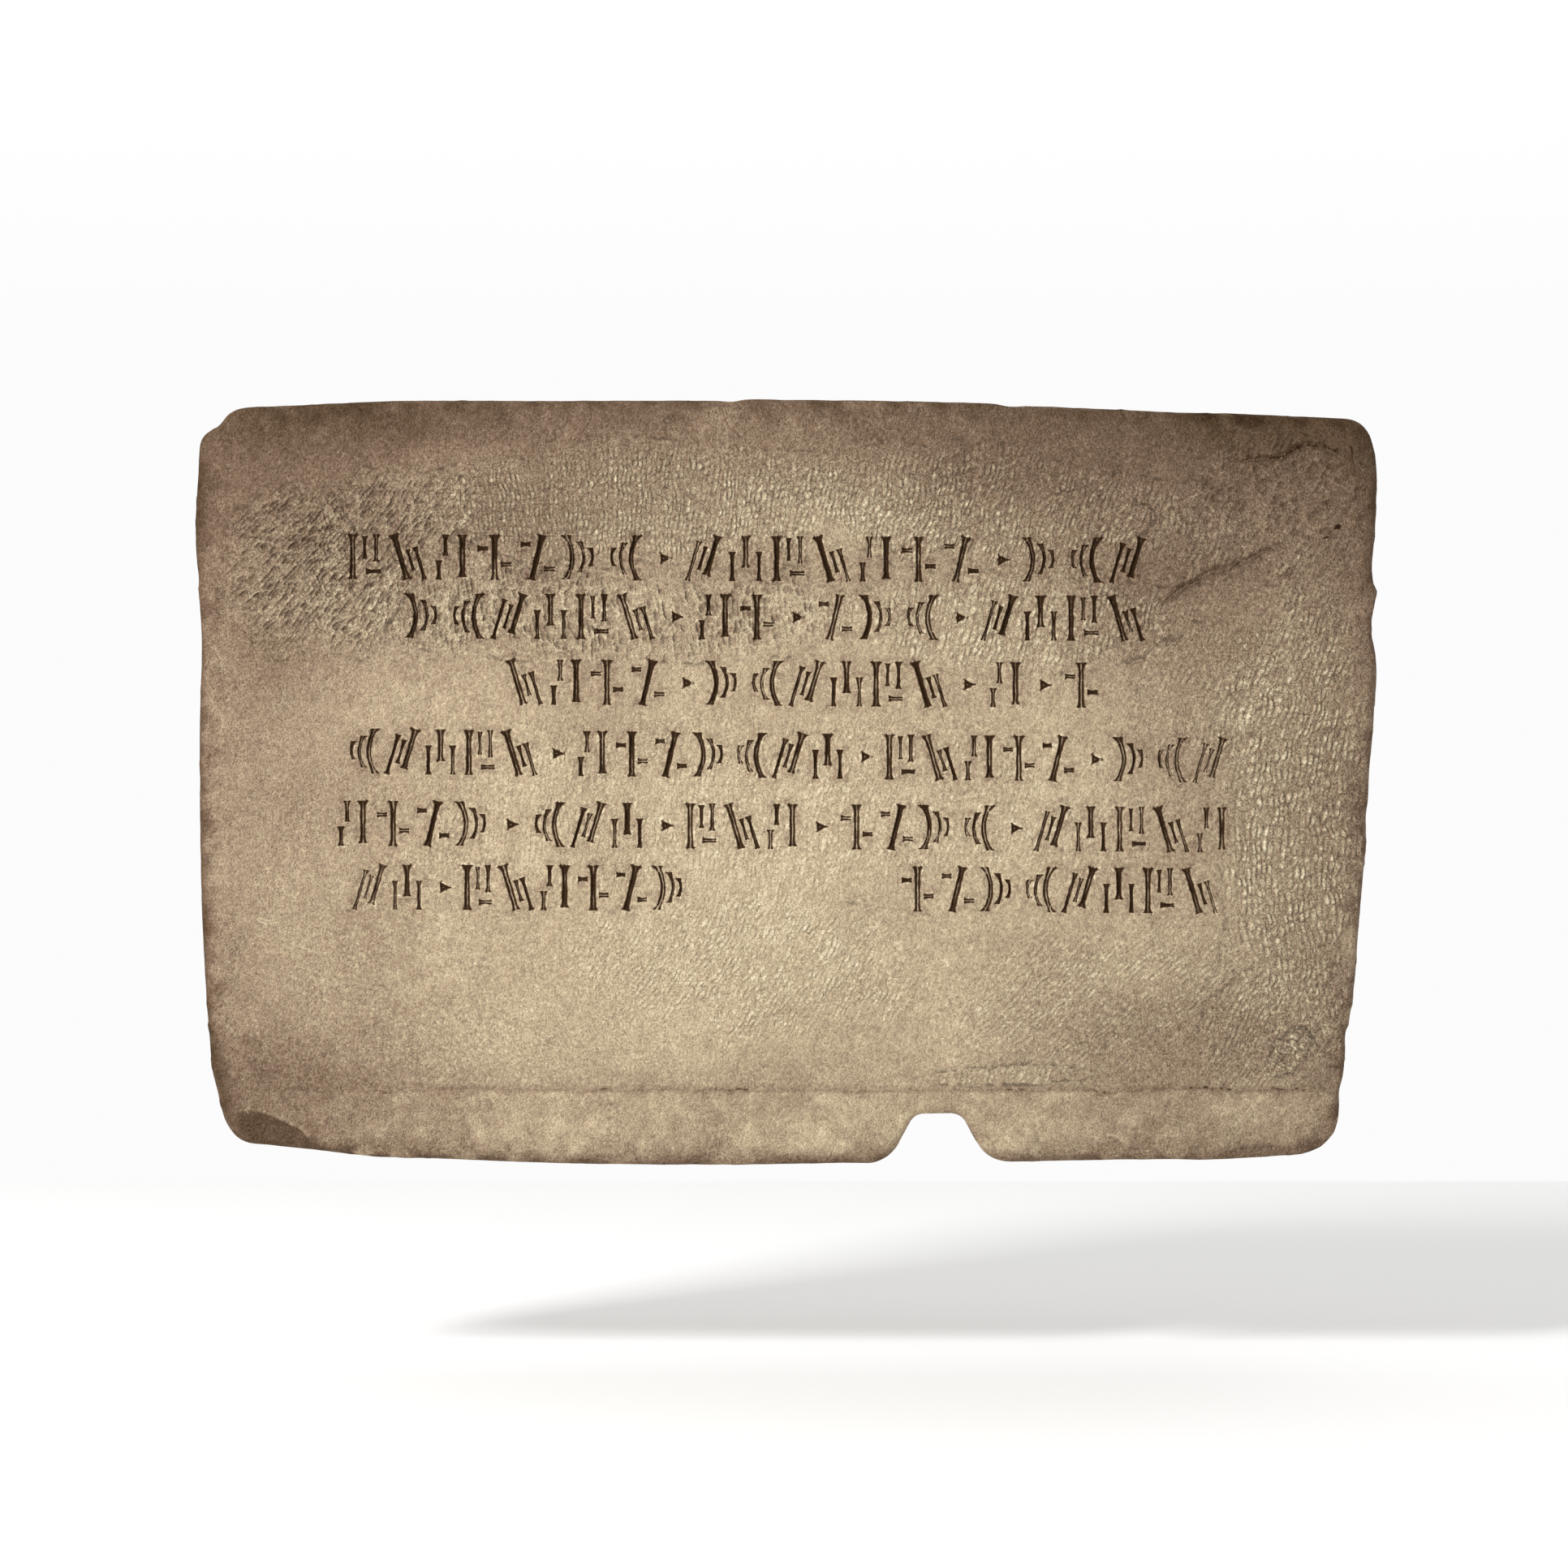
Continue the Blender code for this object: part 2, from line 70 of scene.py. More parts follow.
LOG = logging.getLogger("inscribed_slab")
Array = np.ndarray
Pair = tuple[float, float]
Random = np.random.Generator
Socket = bpy.types.NodeSocket

FRONT_Y = CAD_LOW.y
BACK_Y = CAD_HIGH.y


class Dressing(Enum):
    """The two goings-over of the front with a toothed chisel, by the mesh layer of each.

    A layer holds, for every point, the tooth's place along its row of ticks, the row's number
    and how strongly the chisel bit there.
    """

    FIRST = "chisel_first"
    SECOND = "chisel_second"


def bell(place: Array, centre: float, spread: float) -> Array:
    """A smooth hump that is 1 at its centre, exp(-((place - centre) / spread)^2)."""
    return np.exp(-(((place - centre) / spread) ** 2))


def rise(place: Array, centre: float, run: float) -> Array:
    """A smooth step from 0 to 1, half way up at its centre, (1 + tanh((place - centre) / run)) / 2."""
    return 0.5 + 0.5 * np.tanh((place - centre) / run)


def ease(share: Array) -> Array:
    """A share held between 0 and 1 and smoothed, 3 s^2 - 2 s^3."""
    held = np.clip(share, 0.0, 1.0)
    return held * held * (3.0 - 2.0 * held)


def turned(places: Array, degrees: float) -> Array:
    """Points (n, 2) turned about the origin, anticlockwise as the front is seen."""
    cosine, sine = math.cos(math.radians(degrees)), math.sin(math.radians(degrees))
    return places @ np.array([[cosine, sine], [-sine, cosine]])


def to_the_right(along: Array) -> Array:
    """Directions (..., 2) turned a quarter clockwise, from along a line to its right."""
    return np.stack([along[..., 1], -along[..., 0]], axis=-1)


def travelled_along(line: Array) -> Array:
    """How far each point (n, 2) of a line lies from its start, along the line."""
    return np.concatenate([[0.0], np.cumsum(np.linalg.norm(np.diff(line, axis=0), axis=1))])


def read_along(line: Array, distances: Array) -> Array:
    """The points of a line (n, 2) at some distances along it."""
    travelled = travelled_along(line)
    return np.column_stack([np.interp(distances, travelled, line[:, k]) for k in (0, 1)])


def chain(index: Array) -> Array:
    """The edges (n - 1, 2) that join numbered points each to the next."""
    return np.column_stack([index[:-1], index[1:]])


def each(kind: type, *rows: tuple) -> tuple:
    """One object of a kind for each row of its values."""
    return tuple(itertools.starmap(kind, rows))


class StoneNoise:
    """Smooth random numbers in space, the same each run."""

    def __init__(self, seed: int) -> None:
        """Fill the table of random numbers that stands at the corners of the lattice."""
        self.table = np.random.default_rng(seed).uniform(-1.0, 1.0, (89, 61, 97))

    def at(self, places: Array, cell: float) -> Array:
        """Numbers from -1 to 1: corner values of a lattice, blended by 3 t^2 - 2 t^3.

        Args:
            places: points (n, 3).
            cell: the lattice's pitch, which sets the size of the lumps.

        Returns:
            One number for each point.
        """
        lattice = places / cell + 400.0
        low = np.floor(lattice).astype(int)
        part = ease(lattice - low)
        total = np.zeros(len(places))
        for corner in itertools.product((0, 1), repeat=3):
            index = (low + corner) % self.table.shape
            weight = np.prod(np.where(corner, part, 1.0 - part), axis=1)
            total += weight * self.table[index[:, 0], index[:, 1], index[:, 2]]
        return total

    def layered(self, places: Array, cell: float, layers: int) -> Array:
        """A sum of `layers` noises, each of half the cell and 0.55 of the height before."""
        return sum(0.55 ** k * self.at(places, cell / 2 ** k) for k in range(layers))


NOISE = StoneNoise(41)


def upright(places: Array) -> Array:
    """Points (n, 2) of the front as points (n, 3) on the front plane."""
    return np.column_stack([places[:, 0], np.full(len(places), FRONT_Y), places[:, 1]])


@dataclass(frozen=True)
class Wear:
    """A nick (negative height) or a lump (positive) along a side, about its centre."""

    centre: float
    spread: float
    height: float


def worn(place: Array, wear: tuple[Wear, ...]) -> Array:
    """How far the nicks and lumps move a side outwards: the sum of their humps."""
    return sum(mark.height * bell(place, mark.centre, mark.spread) for mark in wear)


@dataclass
class SlabOutline:
    """The slab's outline in (x, z), by the same formulas as the solid, at close spacing.

    The loop runs up the left side, along the top, down the right side and back along the foot.
    The sides stand inside the box of its width and height by their insets.
    """

    width: float = 0.83
    height: float = 0.539
    spacing: float = 0.003
    left_inset: float = 0.0035
    right_inset: float = 0.0015
    end_inset: float = 0.0006
    fine_step: float = 0.0005
    calm_reach: float = 0.004
    top_peak_x: float = -0.09
    top_bow: float = 0.054
    top_wear: tuple[Wear, ...] = each(
        Wear,
        (-0.265, 0.06, 0.0015), (-0.039, 0.006, -0.0008), (0.157, 0.008, -0.0007), (0.27, 0.05, -0.001),
    )
    top_lip: Pair = (-0.032, 0.15)
    top_lip_height: float = 0.0011
    top_lip_run: float = 0.004
    left_turn_z: float = -0.02
    left_lean: float = 0.27
    left_wear: tuple[Wear, ...] = each(
        Wear,
        (0.176, 0.045, 0.0029), (0.144, 0.006, -0.0007), (0.092, 0.03, -0.0014), (-0.198, 0.014, 0.001),
        (-0.235, 0.02, -0.0022),
    )
    right_turn_z: float = 0.08
    right_lean: float = 0.318
    right_lean_power: float = 1.45
    right_lean_depth: float = 0.0264
    right_wear: tuple[Wear, ...] = each(
        Wear,
        (0.208, 0.026, 0.0012), (0.15, 0.016, -0.0022), (0.133, 0.0045, 0.0022), (0.108, 0.013, -0.0028),
        (0.072, 0.015, 0.0012), (0.006, 0.02, -0.001), (-0.024, 0.008, -0.0012), (-0.14, 0.02, 0.0012),
        (-0.178, 0.009, -0.0014), (-0.217, 0.008, -0.0016),
    )
    low_point_x: float = -0.08
    low_bow_left: float = 0.17
    low_bow_right: float = 0.036
    low_wear: tuple[Wear, ...] = each(
        Wear,
        (-0.285, 0.03, 0.0016), (0.04, 0.026, -0.0008), (0.302, 0.036, 0.0016),
    )
    top_left_round: Pair = (-0.37, 0.233)
    top_right_round: Pair = (0.392, 0.22)
    low_right_round: Pair = (0.352, -0.232)
    low_left_round: Pair = (-0.374, -0.224)
    corner_break: tuple[float, float, float] = (0.45, 0.22, 0.0062)
    notch_centre: float = 0.1063
    notch_height: float = 0.036
    notch_top_width: float = 0.032
    notch_mouth_width: float = 0.07
    notch_top_radius: float = 0.011
    notch_shoulder_radius: float = 0.026
    loop: Array = field(init=False)
    calm: Array = field(init=False)
    outward: Array = field(init=False)

    def __post_init__(self) -> None:
        """Work out the loop, the calm loop that the front edge follows, and its outward side."""
        path = self.path()
        closed = np.concatenate([path, path[:1]])
        length = travelled_along(closed)[-1]
        count = round(length / self.spacing)
        self.loop = read_along(closed, np.linspace(0.0, length, count, endpoint=False))
        step = self.length(self.loop) / len(self.loop)
        pace = np.fft.fftfreq(len(self.loop), step)
        soft = np.exp(-2.0 * (math.pi * pace * self.calm_reach) ** 2)
        smooth = np.fft.ifft(np.fft.fft(self.loop[:, 0] + 1j * self.loop[:, 1]) * soft)
        self.calm = np.column_stack([smooth.real, smooth.imag])
        along = np.roll(self.calm, -1, axis=0) - np.roll(self.calm, 1, axis=0)
        along /= np.linalg.norm(along, axis=1, keepdims=True)
        self.outward = -to_the_right(along)

    def top_side(self, x: Array) -> Array:
        """The top: a parabola that drops from its peak, with a low lip near the middle.

        Args:
            x: places along it.

        Returns:
            Points (n, 2).
        """
        lip = rise(x, self.top_lip[0], self.top_lip_run) - rise(x, self.top_lip[1], self.top_lip_run)
        peak = self.height / 2 - self.end_inset
        bow = self.top_bow * (x - self.top_peak_x) ** 2
        return np.column_stack([x, peak - bow + self.top_lip_height * (lip - 1) + worn(x, self.top_wear)])

    def left_side(self, z: Array) -> Array:
        """The left side: upright, then leaning in along a parabola towards its foot.

        Args:
            z: places up it.

        Returns:
            Points (n, 2).
        """
        below = np.maximum(0.0, self.left_turn_z - z)
        x = self.left_inset - self.width / 2 + self.left_lean * below ** 2 - worn(z, self.left_wear)
        return np.column_stack([x, z])

    def right_side(self, z: Array) -> Array:
        """The right side: upright, then leaning in along a power curve towards its foot.

        Args:
            z: places up it.

        Returns:
            Points (n, 2).
        """
        below = np.maximum(0.0, self.right_turn_z - z) / self.right_lean
        lean = self.right_lean_depth * below ** self.right_lean_power
        x = self.width / 2 - self.right_inset - lean + worn(z, self.right_wear)
        return np.column_stack([x, z])

    def low_side(self, x: Array) -> Array:
        """The foot: two parabolas that meet at the low point.

        Args:
            x: places along it.

        Returns:
            Points (n, 2).
        """
        bow = np.where(x < self.low_point_x, self.low_bow_left, self.low_bow_right)
        low = self.end_inset - self.height / 2
        return np.column_stack([x, low + bow * (x - self.low_point_x) ** 2 - worn(x, self.low_wear)])

    def corner(self, before: Array, after: Array, broken: bool = False) -> Array:
        """A round corner: the quadratic curve drawn towards the crossing of two tangents.

        Args:
            before: the side's points that lead into the corner.
            after: the side's points that lead out of it.
            broken: whether a flake is off the corner.

        Returns:
            Points (n, 2) along the corner.
        """
        start, end = before[-1], after[0]
        first, last = before[-1] - before[-2], after[1] - after[0]
        turn = first[0] * last[1] - first[1] * last[0]
        gap = end - start
        apex = start + first * (gap[0] * last[1] - gap[1] * last[0]) / turn
        share = np.linspace(0.0, 1.0, 60)[1:-1, None]
        points = start * (1 - share) ** 2 + apex * 2 * share * (1 - share) + end * share ** 2
        if broken:
            inward = (start + end) / 2 - apex
            at, spread, depth = self.corner_break
            points = points + inward / np.linalg.norm(inward) * depth * bell(share, at, spread)
        return points

    def notch(self) -> Array:
        """The notch from left to right: a trapezium whose four corners are arcs.

        Returns:
            Points (n, 2).
        """
        top, mouth = self.notch_top_width / 2, self.notch_mouth_width / 2
        top_z = self.end_inset - self.height / 2 + self.notch_height
        reach = mouth + 2 * self.notch_shoulder_radius
        foot = self.low_side(self.notch_centre + np.array([-reach, -mouth, mouth, reach]))
        corners = [foot[0], foot[1], np.array([self.notch_centre - top, top_z]),
                   np.array([self.notch_centre + top, top_z]), foot[2], foot[3]]
        radii = (self.notch_shoulder_radius, self.notch_top_radius,
                 self.notch_top_radius, self.notch_shoulder_radius)
        arcs = [self.arc(*corners[k:k + 3], radii[k]) for k in range(4)]
        return np.concatenate(arcs)

    @staticmethod
    def arc(before: Array, corner: Array, after: Array, radius: float) -> Array:
        """The arc of a radius that touches both lines meeting at a corner.

        Args:
            before: a point on the line in.
            corner: where the lines meet.
            after: a point on the line out.
            radius: the arc's radius.

        Returns:
            Points (n, 2) along the arc.
        """
        inward = (before - corner) / np.linalg.norm(before - corner)
        onward = (after - corner) / np.linalg.norm(after - corner)
        half = math.acos(float(inward @ onward)) / 2
        middle = corner + (inward + onward) / np.linalg.norm(inward + onward) * radius / math.sin(half)
        spoke = corner + inward * (radius / math.tan(half)) - middle
        sweep = math.copysign(math.pi - 2 * half, spoke[0] * onward[1] - spoke[1] * onward[0])
        angle = np.linspace(0.0, sweep, 24)
        cosine, sine = np.cos(angle), np.sin(angle)
        return middle + np.column_stack([spoke[0] * cosine - spoke[1] * sine,
                                         spoke[0] * sine + spoke[1] * cosine])

    def path(self) -> Array:
        """The whole loop: each side sampled between its corners, with corners and notch.

        Returns:
            Points (n, 2).
        """
        def run(start: float, end: float) -> Array:
            """Places from start to end at the fine step."""
            return np.linspace(start, end, max(2, round(abs(end - start) / self.fine_step)))

        left = self.left_side(run(self.low_left_round[1], self.top_left_round[1]))
        top = self.top_side(run(self.top_left_round[0], self.top_right_round[0]))
        right = self.right_side(run(self.top_right_round[1], self.low_right_round[1]))
        notch = self.notch()
        low_right = self.low_side(run(self.low_right_round[0], notch[-1, 0]))
        low_left = self.low_side(run(notch[0, 0], self.low_left_round[0]))
        return np.concatenate([
            left, self.corner(left, top, broken=True),
            top, self.corner(top, right),
            right, self.corner(right, low_right),
            low_right[:-1], notch[::-1], low_left[1:],
            self.corner(low_left, left),
        ])

    @staticmethod
    def length(loop: Array) -> float:
        """The length of a closed loop."""
        return float(np.linalg.norm(np.roll(loop, -1, axis=0) - loop, axis=1).sum())

    def depth_inside(self, places: Array, ring: Array) -> Array:
        """How far points lie inside a ring that runs beside the loop.

        The nearest ring point is found.  Close by, the gap is measured along its outward side.

        Args:
            places: points (n, 2).
            ring: the ring's points, one for each point of the loop.

        Returns:
            The distance of each point, negative outside.
        """
        found = []
        for part in np.array_split(places, max(1, len(places) // 4000)):
            gaps = ((part[:, None, :] - ring[None, :, :]) ** 2).sum(axis=2)
            nearest = gaps.argmin(axis=1)
            side = ((part - ring[nearest]) * self.outward[nearest]).sum(axis=1)
            gap = np.sqrt(gaps[np.arange(len(part)), nearest])
            found.append(np.where(gap < 0.005, -side, -np.sign(side) * gap))
        return np.concatenate(found)


@dataclass
class Points:
    """Points of the front net: their places, how deep each is cut, their dirt and their tone.

    Attributes:
        places: (n, 2) in the plane of the front.
        cut: depth below the ground of the front, negative where stone stands proud.
        dirt: 0 where clean, and 1 where black with dirt and with the painted shade of cuts and creases.
        tone: negative where soiled and where shade is painted, and positive where freshly bruised and pale
            and where highlights are painted.
        edges: (m, 2) pairs of points that the net has to join.
    """

    places: Array
    cut: Array
    dirt: Array
    tone: Array
    edges: Array = field(default_factory=lambda: np.zeros((0, 2), int))

    def kept(self, keep: Array) -> "Points":
        """The points that a mask keeps, with the edges that lose no end.

        Args:
            keep: whether each point stays.

        Returns:
            The points that stay.
        """
        number = np.cumsum(keep) - 1
        whole = keep[self.edges].all(axis=1)
        return Points(self.places[keep], self.cut[keep], self.dirt[keep], self.tone[keep],
                      number[self.edges[whole]])

    @staticmethod
    def joined(parts: "list[Points]") -> "Points":
        """Several sets of points as one, with their edges numbered anew.

        Args:
            parts: the sets.

        Returns:
            All of their points, in the same order.
        """
        starts = np.cumsum([0] + [len(part.places) for part in parts[:-1]])
        columns = zip(*((part.places, part.cut, part.dirt, part.tone) for part in parts))
        edges = np.concatenate([part.edges + start for part, start in zip(parts, starts)])
        return Points(*map(np.concatenate, columns), edges)


class Taken:
    """A fine chequer over the front that remembers where points already stand."""

    def __init__(self, cell: float) -> None:
        """Lay an empty chequer of square cells over the slab's box, with a margin round it.

        Args:
            cell: the side of a cell.
        """
        self.cell = cell
        self.low = np.array([CAD_LOW.x, CAD_LOW.z]) - 0.02
        size = (np.array([CAD_HIGH.x, CAD_HIGH.z]) + 0.02 - self.low) / cell
        self.full = np.zeros((int(size[0]) + 1, int(size[1]) + 1), bool)

    def index(self, places: Array) -> tuple[Array, Array]:
        """The chequer's columns and rows that points fall in."""
        cells = ((places - self.low) / self.cell).astype(int)
        return tuple(np.clip(cells, 0, np.array(self.full.shape) - 1).T)

    def mark(self, places: Array, reach: float) -> None:
        """Fill every cell within reach of a point.

        Args:
            places: points (n, 2).
            reach: how far.
        """
        steps = np.arange(-math.ceil(reach / self.cell), math.ceil(reach / self.cell) + 1) * self.cell
        for dx, dz in itertools.product(steps, steps):
            if math.hypot(dx, dz) <= reach:
                self.full[self.index(places + (dx, dz))] = True

    def free(self, places: Array) -> Array:
        """Which points stand in an empty cell."""
        return ~self.full[self.index(places)]


@dataclass
class Stroke:
    """A V-shaped cut along a line, wider at its two ends, which run out to the surface.

    Attributes:
        foot, head: its two ends, (x, z).
        bow: how far its middle stands to the right of the straight line.
        width, depth: at its middle.
        flares: how many times wider the foot and the head are.
        runs: how far from each end the cut takes to reach its full depth.
        dirt: how dark it is, dirt and painted shade together, 0 to 1.
        station_gap: between the stations along it.
        columns: the places across it, in shares of half its width.
        wall_power: how hollow its walls are.
        rim_dirt, keel_dirt: the darkness on its two rims and in an unworn keel, dirt and painted shade.
        width_waver, depth_waver, dirt_waver: how uneven those are, as shares.
        rim_waver, floor_waver: how far its rims and its inner columns stray.
        burr_gap, burr_height: how far outside the rims the burr stands, and how high at most.
    """

    foot: Array
    head: Array
    bow: float
    width: float
    depth: float
    flares: Pair = (1.85, 2.25)
    runs: Pair = (0.0023, 0.0031)
    dirt: float = 1.0
    station_gap: float = 0.0021
    columns: tuple[float, ...] = (-1.0, -0.52, 0.0, 0.52, 1.0)
    wall_power: float = 1.15
    rim_dirt: Pair = (0.44, 0.4)
    keel_dirt: float = 0.95
    width_waver: float = 0.1
    depth_waver: float = 0.16
    dirt_waver: float = 0.1
    rim_waver: float = 0.00022
    floor_waver: float = 0.0002
    burr_gap: float = 0.0005
    burr_height: float = 0.00012
    length: float = field(init=False)
    along: Array = field(init=False)
    across: Array = field(init=False)

    def __post_init__(self) -> None:
        """Work out the stroke's length and directions."""
        self.length = float(np.linalg.norm(self.head - self.foot))
        self.along = (self.head - self.foot) / self.length
        self.across = to_the_right(self.along)
        self.runs = tuple(min(run, 0.32 * self.length) for run in self.runs)

    def half_width(self, travelled: Array) -> Array:
        """Half the width: a stem with two concave flares, w/2 (1 + sum of (F-1) e^-(s/r)^1.3).

        Args:
            travelled: distances s along the stroke.

        Returns:
            Half the width at each, where r is 0.62 of the run at that end.
        """
        foot = np.maximum(travelled, 0.0) / (0.62 * self.runs[0])
        head = np.maximum(self.length - travelled, 0.0) / (0.62 * self.runs[1])
        swell = (self.flares[0] - 1) * np.exp(-foot ** 1.3) + (self.flares[1] - 1) * np.exp(-head ** 1.3)
        return self.width / 2 * (1 + swell)

    def middle(self, travelled: Array) -> Array:
        """How far the centre line stands off the straight line, 4 bow s (1 - s)."""
        share = np.clip(travelled / self.length, 0.0, 1.0)
        return self.bow * 4 * share * (1 - share)

    def covers(self, places: Array, margin: float) -> Array:
        """Which points lie in the stroke or within a margin of it.

        Args:
            places: points (n, 2).
            margin: how wide.

        Returns:
            True for each point that does.
        """
        offset = places - self.foot
        travelled = offset @ self.along
        aside = np.abs(offset @ self.across - self.middle(travelled))
        inside = (travelled > -margin) & (travelled < self.length + margin)
        return inside & (aside < self.half_width(travelled) + margin)

    def points(self, rng: Random) -> tuple[Points, Points]:
        """The stroke's own points and the ring of burr round it.

        A grid of stations along the stroke and columns across it.  The cut's depth is
        D min(1 - (|r| / h(s))^1.15, s / foot run, (L - s) / head run), a little uneven: two walls
        and two end slopes.  Dirt and painted shade lie thick on the walls, and the keel between them is worn
        paler.

        Args:
            rng: random numbers for the chisel's unevenness.

        Returns:
            The points of the cut, and the points of the burr just outside it.
        """
        count = max(4, round(self.length / self.station_gap))
        share = np.linspace(0.0, 1.0, count + 1)
        close = 0.055 * min(1.0, 0.03 / self.length)
        travelled = (share - close * np.sin(2 * math.pi * share)) * self.length
        columns = np.array(self.columns)
        half = self.half_width(travelled)
        half = half * (1 + self.width_waver * np.interp(share, np.linspace(0, 1, 6), rng.uniform(-1, 1, 6)))
        aside = half[:, None] * columns[None, :]
        aside += rng.uniform(-1, 1, aside.shape) * self.rim_waver * (np.abs(columns) > 0.9)
        aside += rng.uniform(-1, 1, (len(half), 1)) * self.floor_waver * (np.abs(columns) < 0.9)
        ends = np.minimum(travelled / self.runs[0], (self.length - travelled) / self.runs[1])
        walls = 1 - np.abs(columns)[None, :] ** self.wall_power
        deep = self.depth * np.minimum(walls, np.clip(ends, 0, 1)[:, None])
        deep *= 1 + self.depth_waver * rng.uniform(-1, 1, deep.shape)
        places = self.laid(travelled[:, None], aside)
        worn_keel = rng.uniform(0.25, 0.95) + 0.45 * NOISE.at(upright(places[:, 2]), 0.0075)
        worn_keel *= 1.1 - 0.5 * (half / half.max()) ** 2
        even = np.ones_like(half)
        keel = self.keel_dirt * (1 - np.clip(worn_keel, 0.0, 1.0))
        # painted shade: the walls are painted dark, as dirt and as the shade that falls in a V-cut
        packed_dirt_and_shade = np.stack([self.rim_dirt[0] * even, even, keel, even, self.rim_dirt[1] * even], axis=1)
        patchy = np.interp(share, np.linspace(0, 1, 5), rng.uniform(-1, 1, 5))
        wear = 1 - self.dirt_waver + self.dirt_waver * patchy
        dirt = self.dirt * packed_dirt_and_shade * wear[:, None]
        index = np.arange(places.shape[0] * places.shape[1]).reshape(aside.shape)
        lines = [index[:, 0], index[:, 2], index[:, 4]]
        edges = [chain(line) for line in (*lines, index[0], index[-1])]
        cut = Points(places.reshape(-1, 2), deep.ravel(), dirt.ravel(),
                     np.zeros(deep.size), np.concatenate(edges))
        return cut, self.burr(travelled, half, rng)

    def laid(self, travelled: Array, aside: Array) -> Array:
        """Points (n, m, 2) from distances along the stroke and distances to its right."""
        aside = aside + self.middle(travelled)
        return self.foot + travelled[..., None] * self.along + aside[..., None] * self.across

    def burr(self, travelled: Array, half: Array, rng: Random) -> Points:
        """A low ridge of bruised stone along both rims and round both ends, its tone partly a painted
        highlight.

        Args:
            travelled: the stations along the stroke.
            half: half the stroke's width at each.
            rng: random numbers for its unevenness.

        Returns:
            The ridge's points, proud of the ground and paler than it.
        """
        gap = self.burr_gap + 0.0001 * rng.uniform(-1, 1, (len(travelled), 2))
        sides = np.stack([-half - gap[:, 0], half + gap[:, 1]], axis=1)
        flanks = self.laid(travelled[:, None], sides).reshape(-1, 2)
        over = np.array([-0.0006, self.length + 0.0006])
        tips = self.laid(over[:, None], half[[0, -1]][:, None] * np.array([[-0.9, -0.3, 0.3, 0.9]]))
        places = np.concatenate([flanks, tips.reshape(-1, 2)])
        proud = -self.burr_height * rng.uniform(0, 1, len(places))
        # painted highlight: the burr's tone stands partly for highlights along the rims
        pale = rng.uniform(-0.7, 0.5, len(places)) * self.dirt
        return Points(places, proud, np.full(len(places), 0.05 * self.dirt), pale)


def covered(strokes: list[Stroke], places: Array, margin: float) -> Array:
    """Which places (n, 2) lie in any of the strokes or within a margin of one."""
    return np.logical_or.reduce([stroke.covers(places, margin) for stroke in strokes])


@dataclass(frozen=True)
class Row:
    """A carved row: its two ends, its foot line there, and how many signs each group has."""

    start: float
    end: float
    start_foot: float
    end_foot: float
    groups: tuple[int, ...]


@dataclass(frozen=True)
class Sign:
    """A group of parallel strokes, by shares of its cell's width and of the rows' height.

    stems are (place, foot level, head level, thickness) and share one lean and one bow.
    dashes are (start, end, level) and lie flat.
    """

    lean: float
    bow: float
    stems: tuple[tuple[float, float, float, float], ...]
    dashes: tuple[tuple[float, float, float], ...] = ()


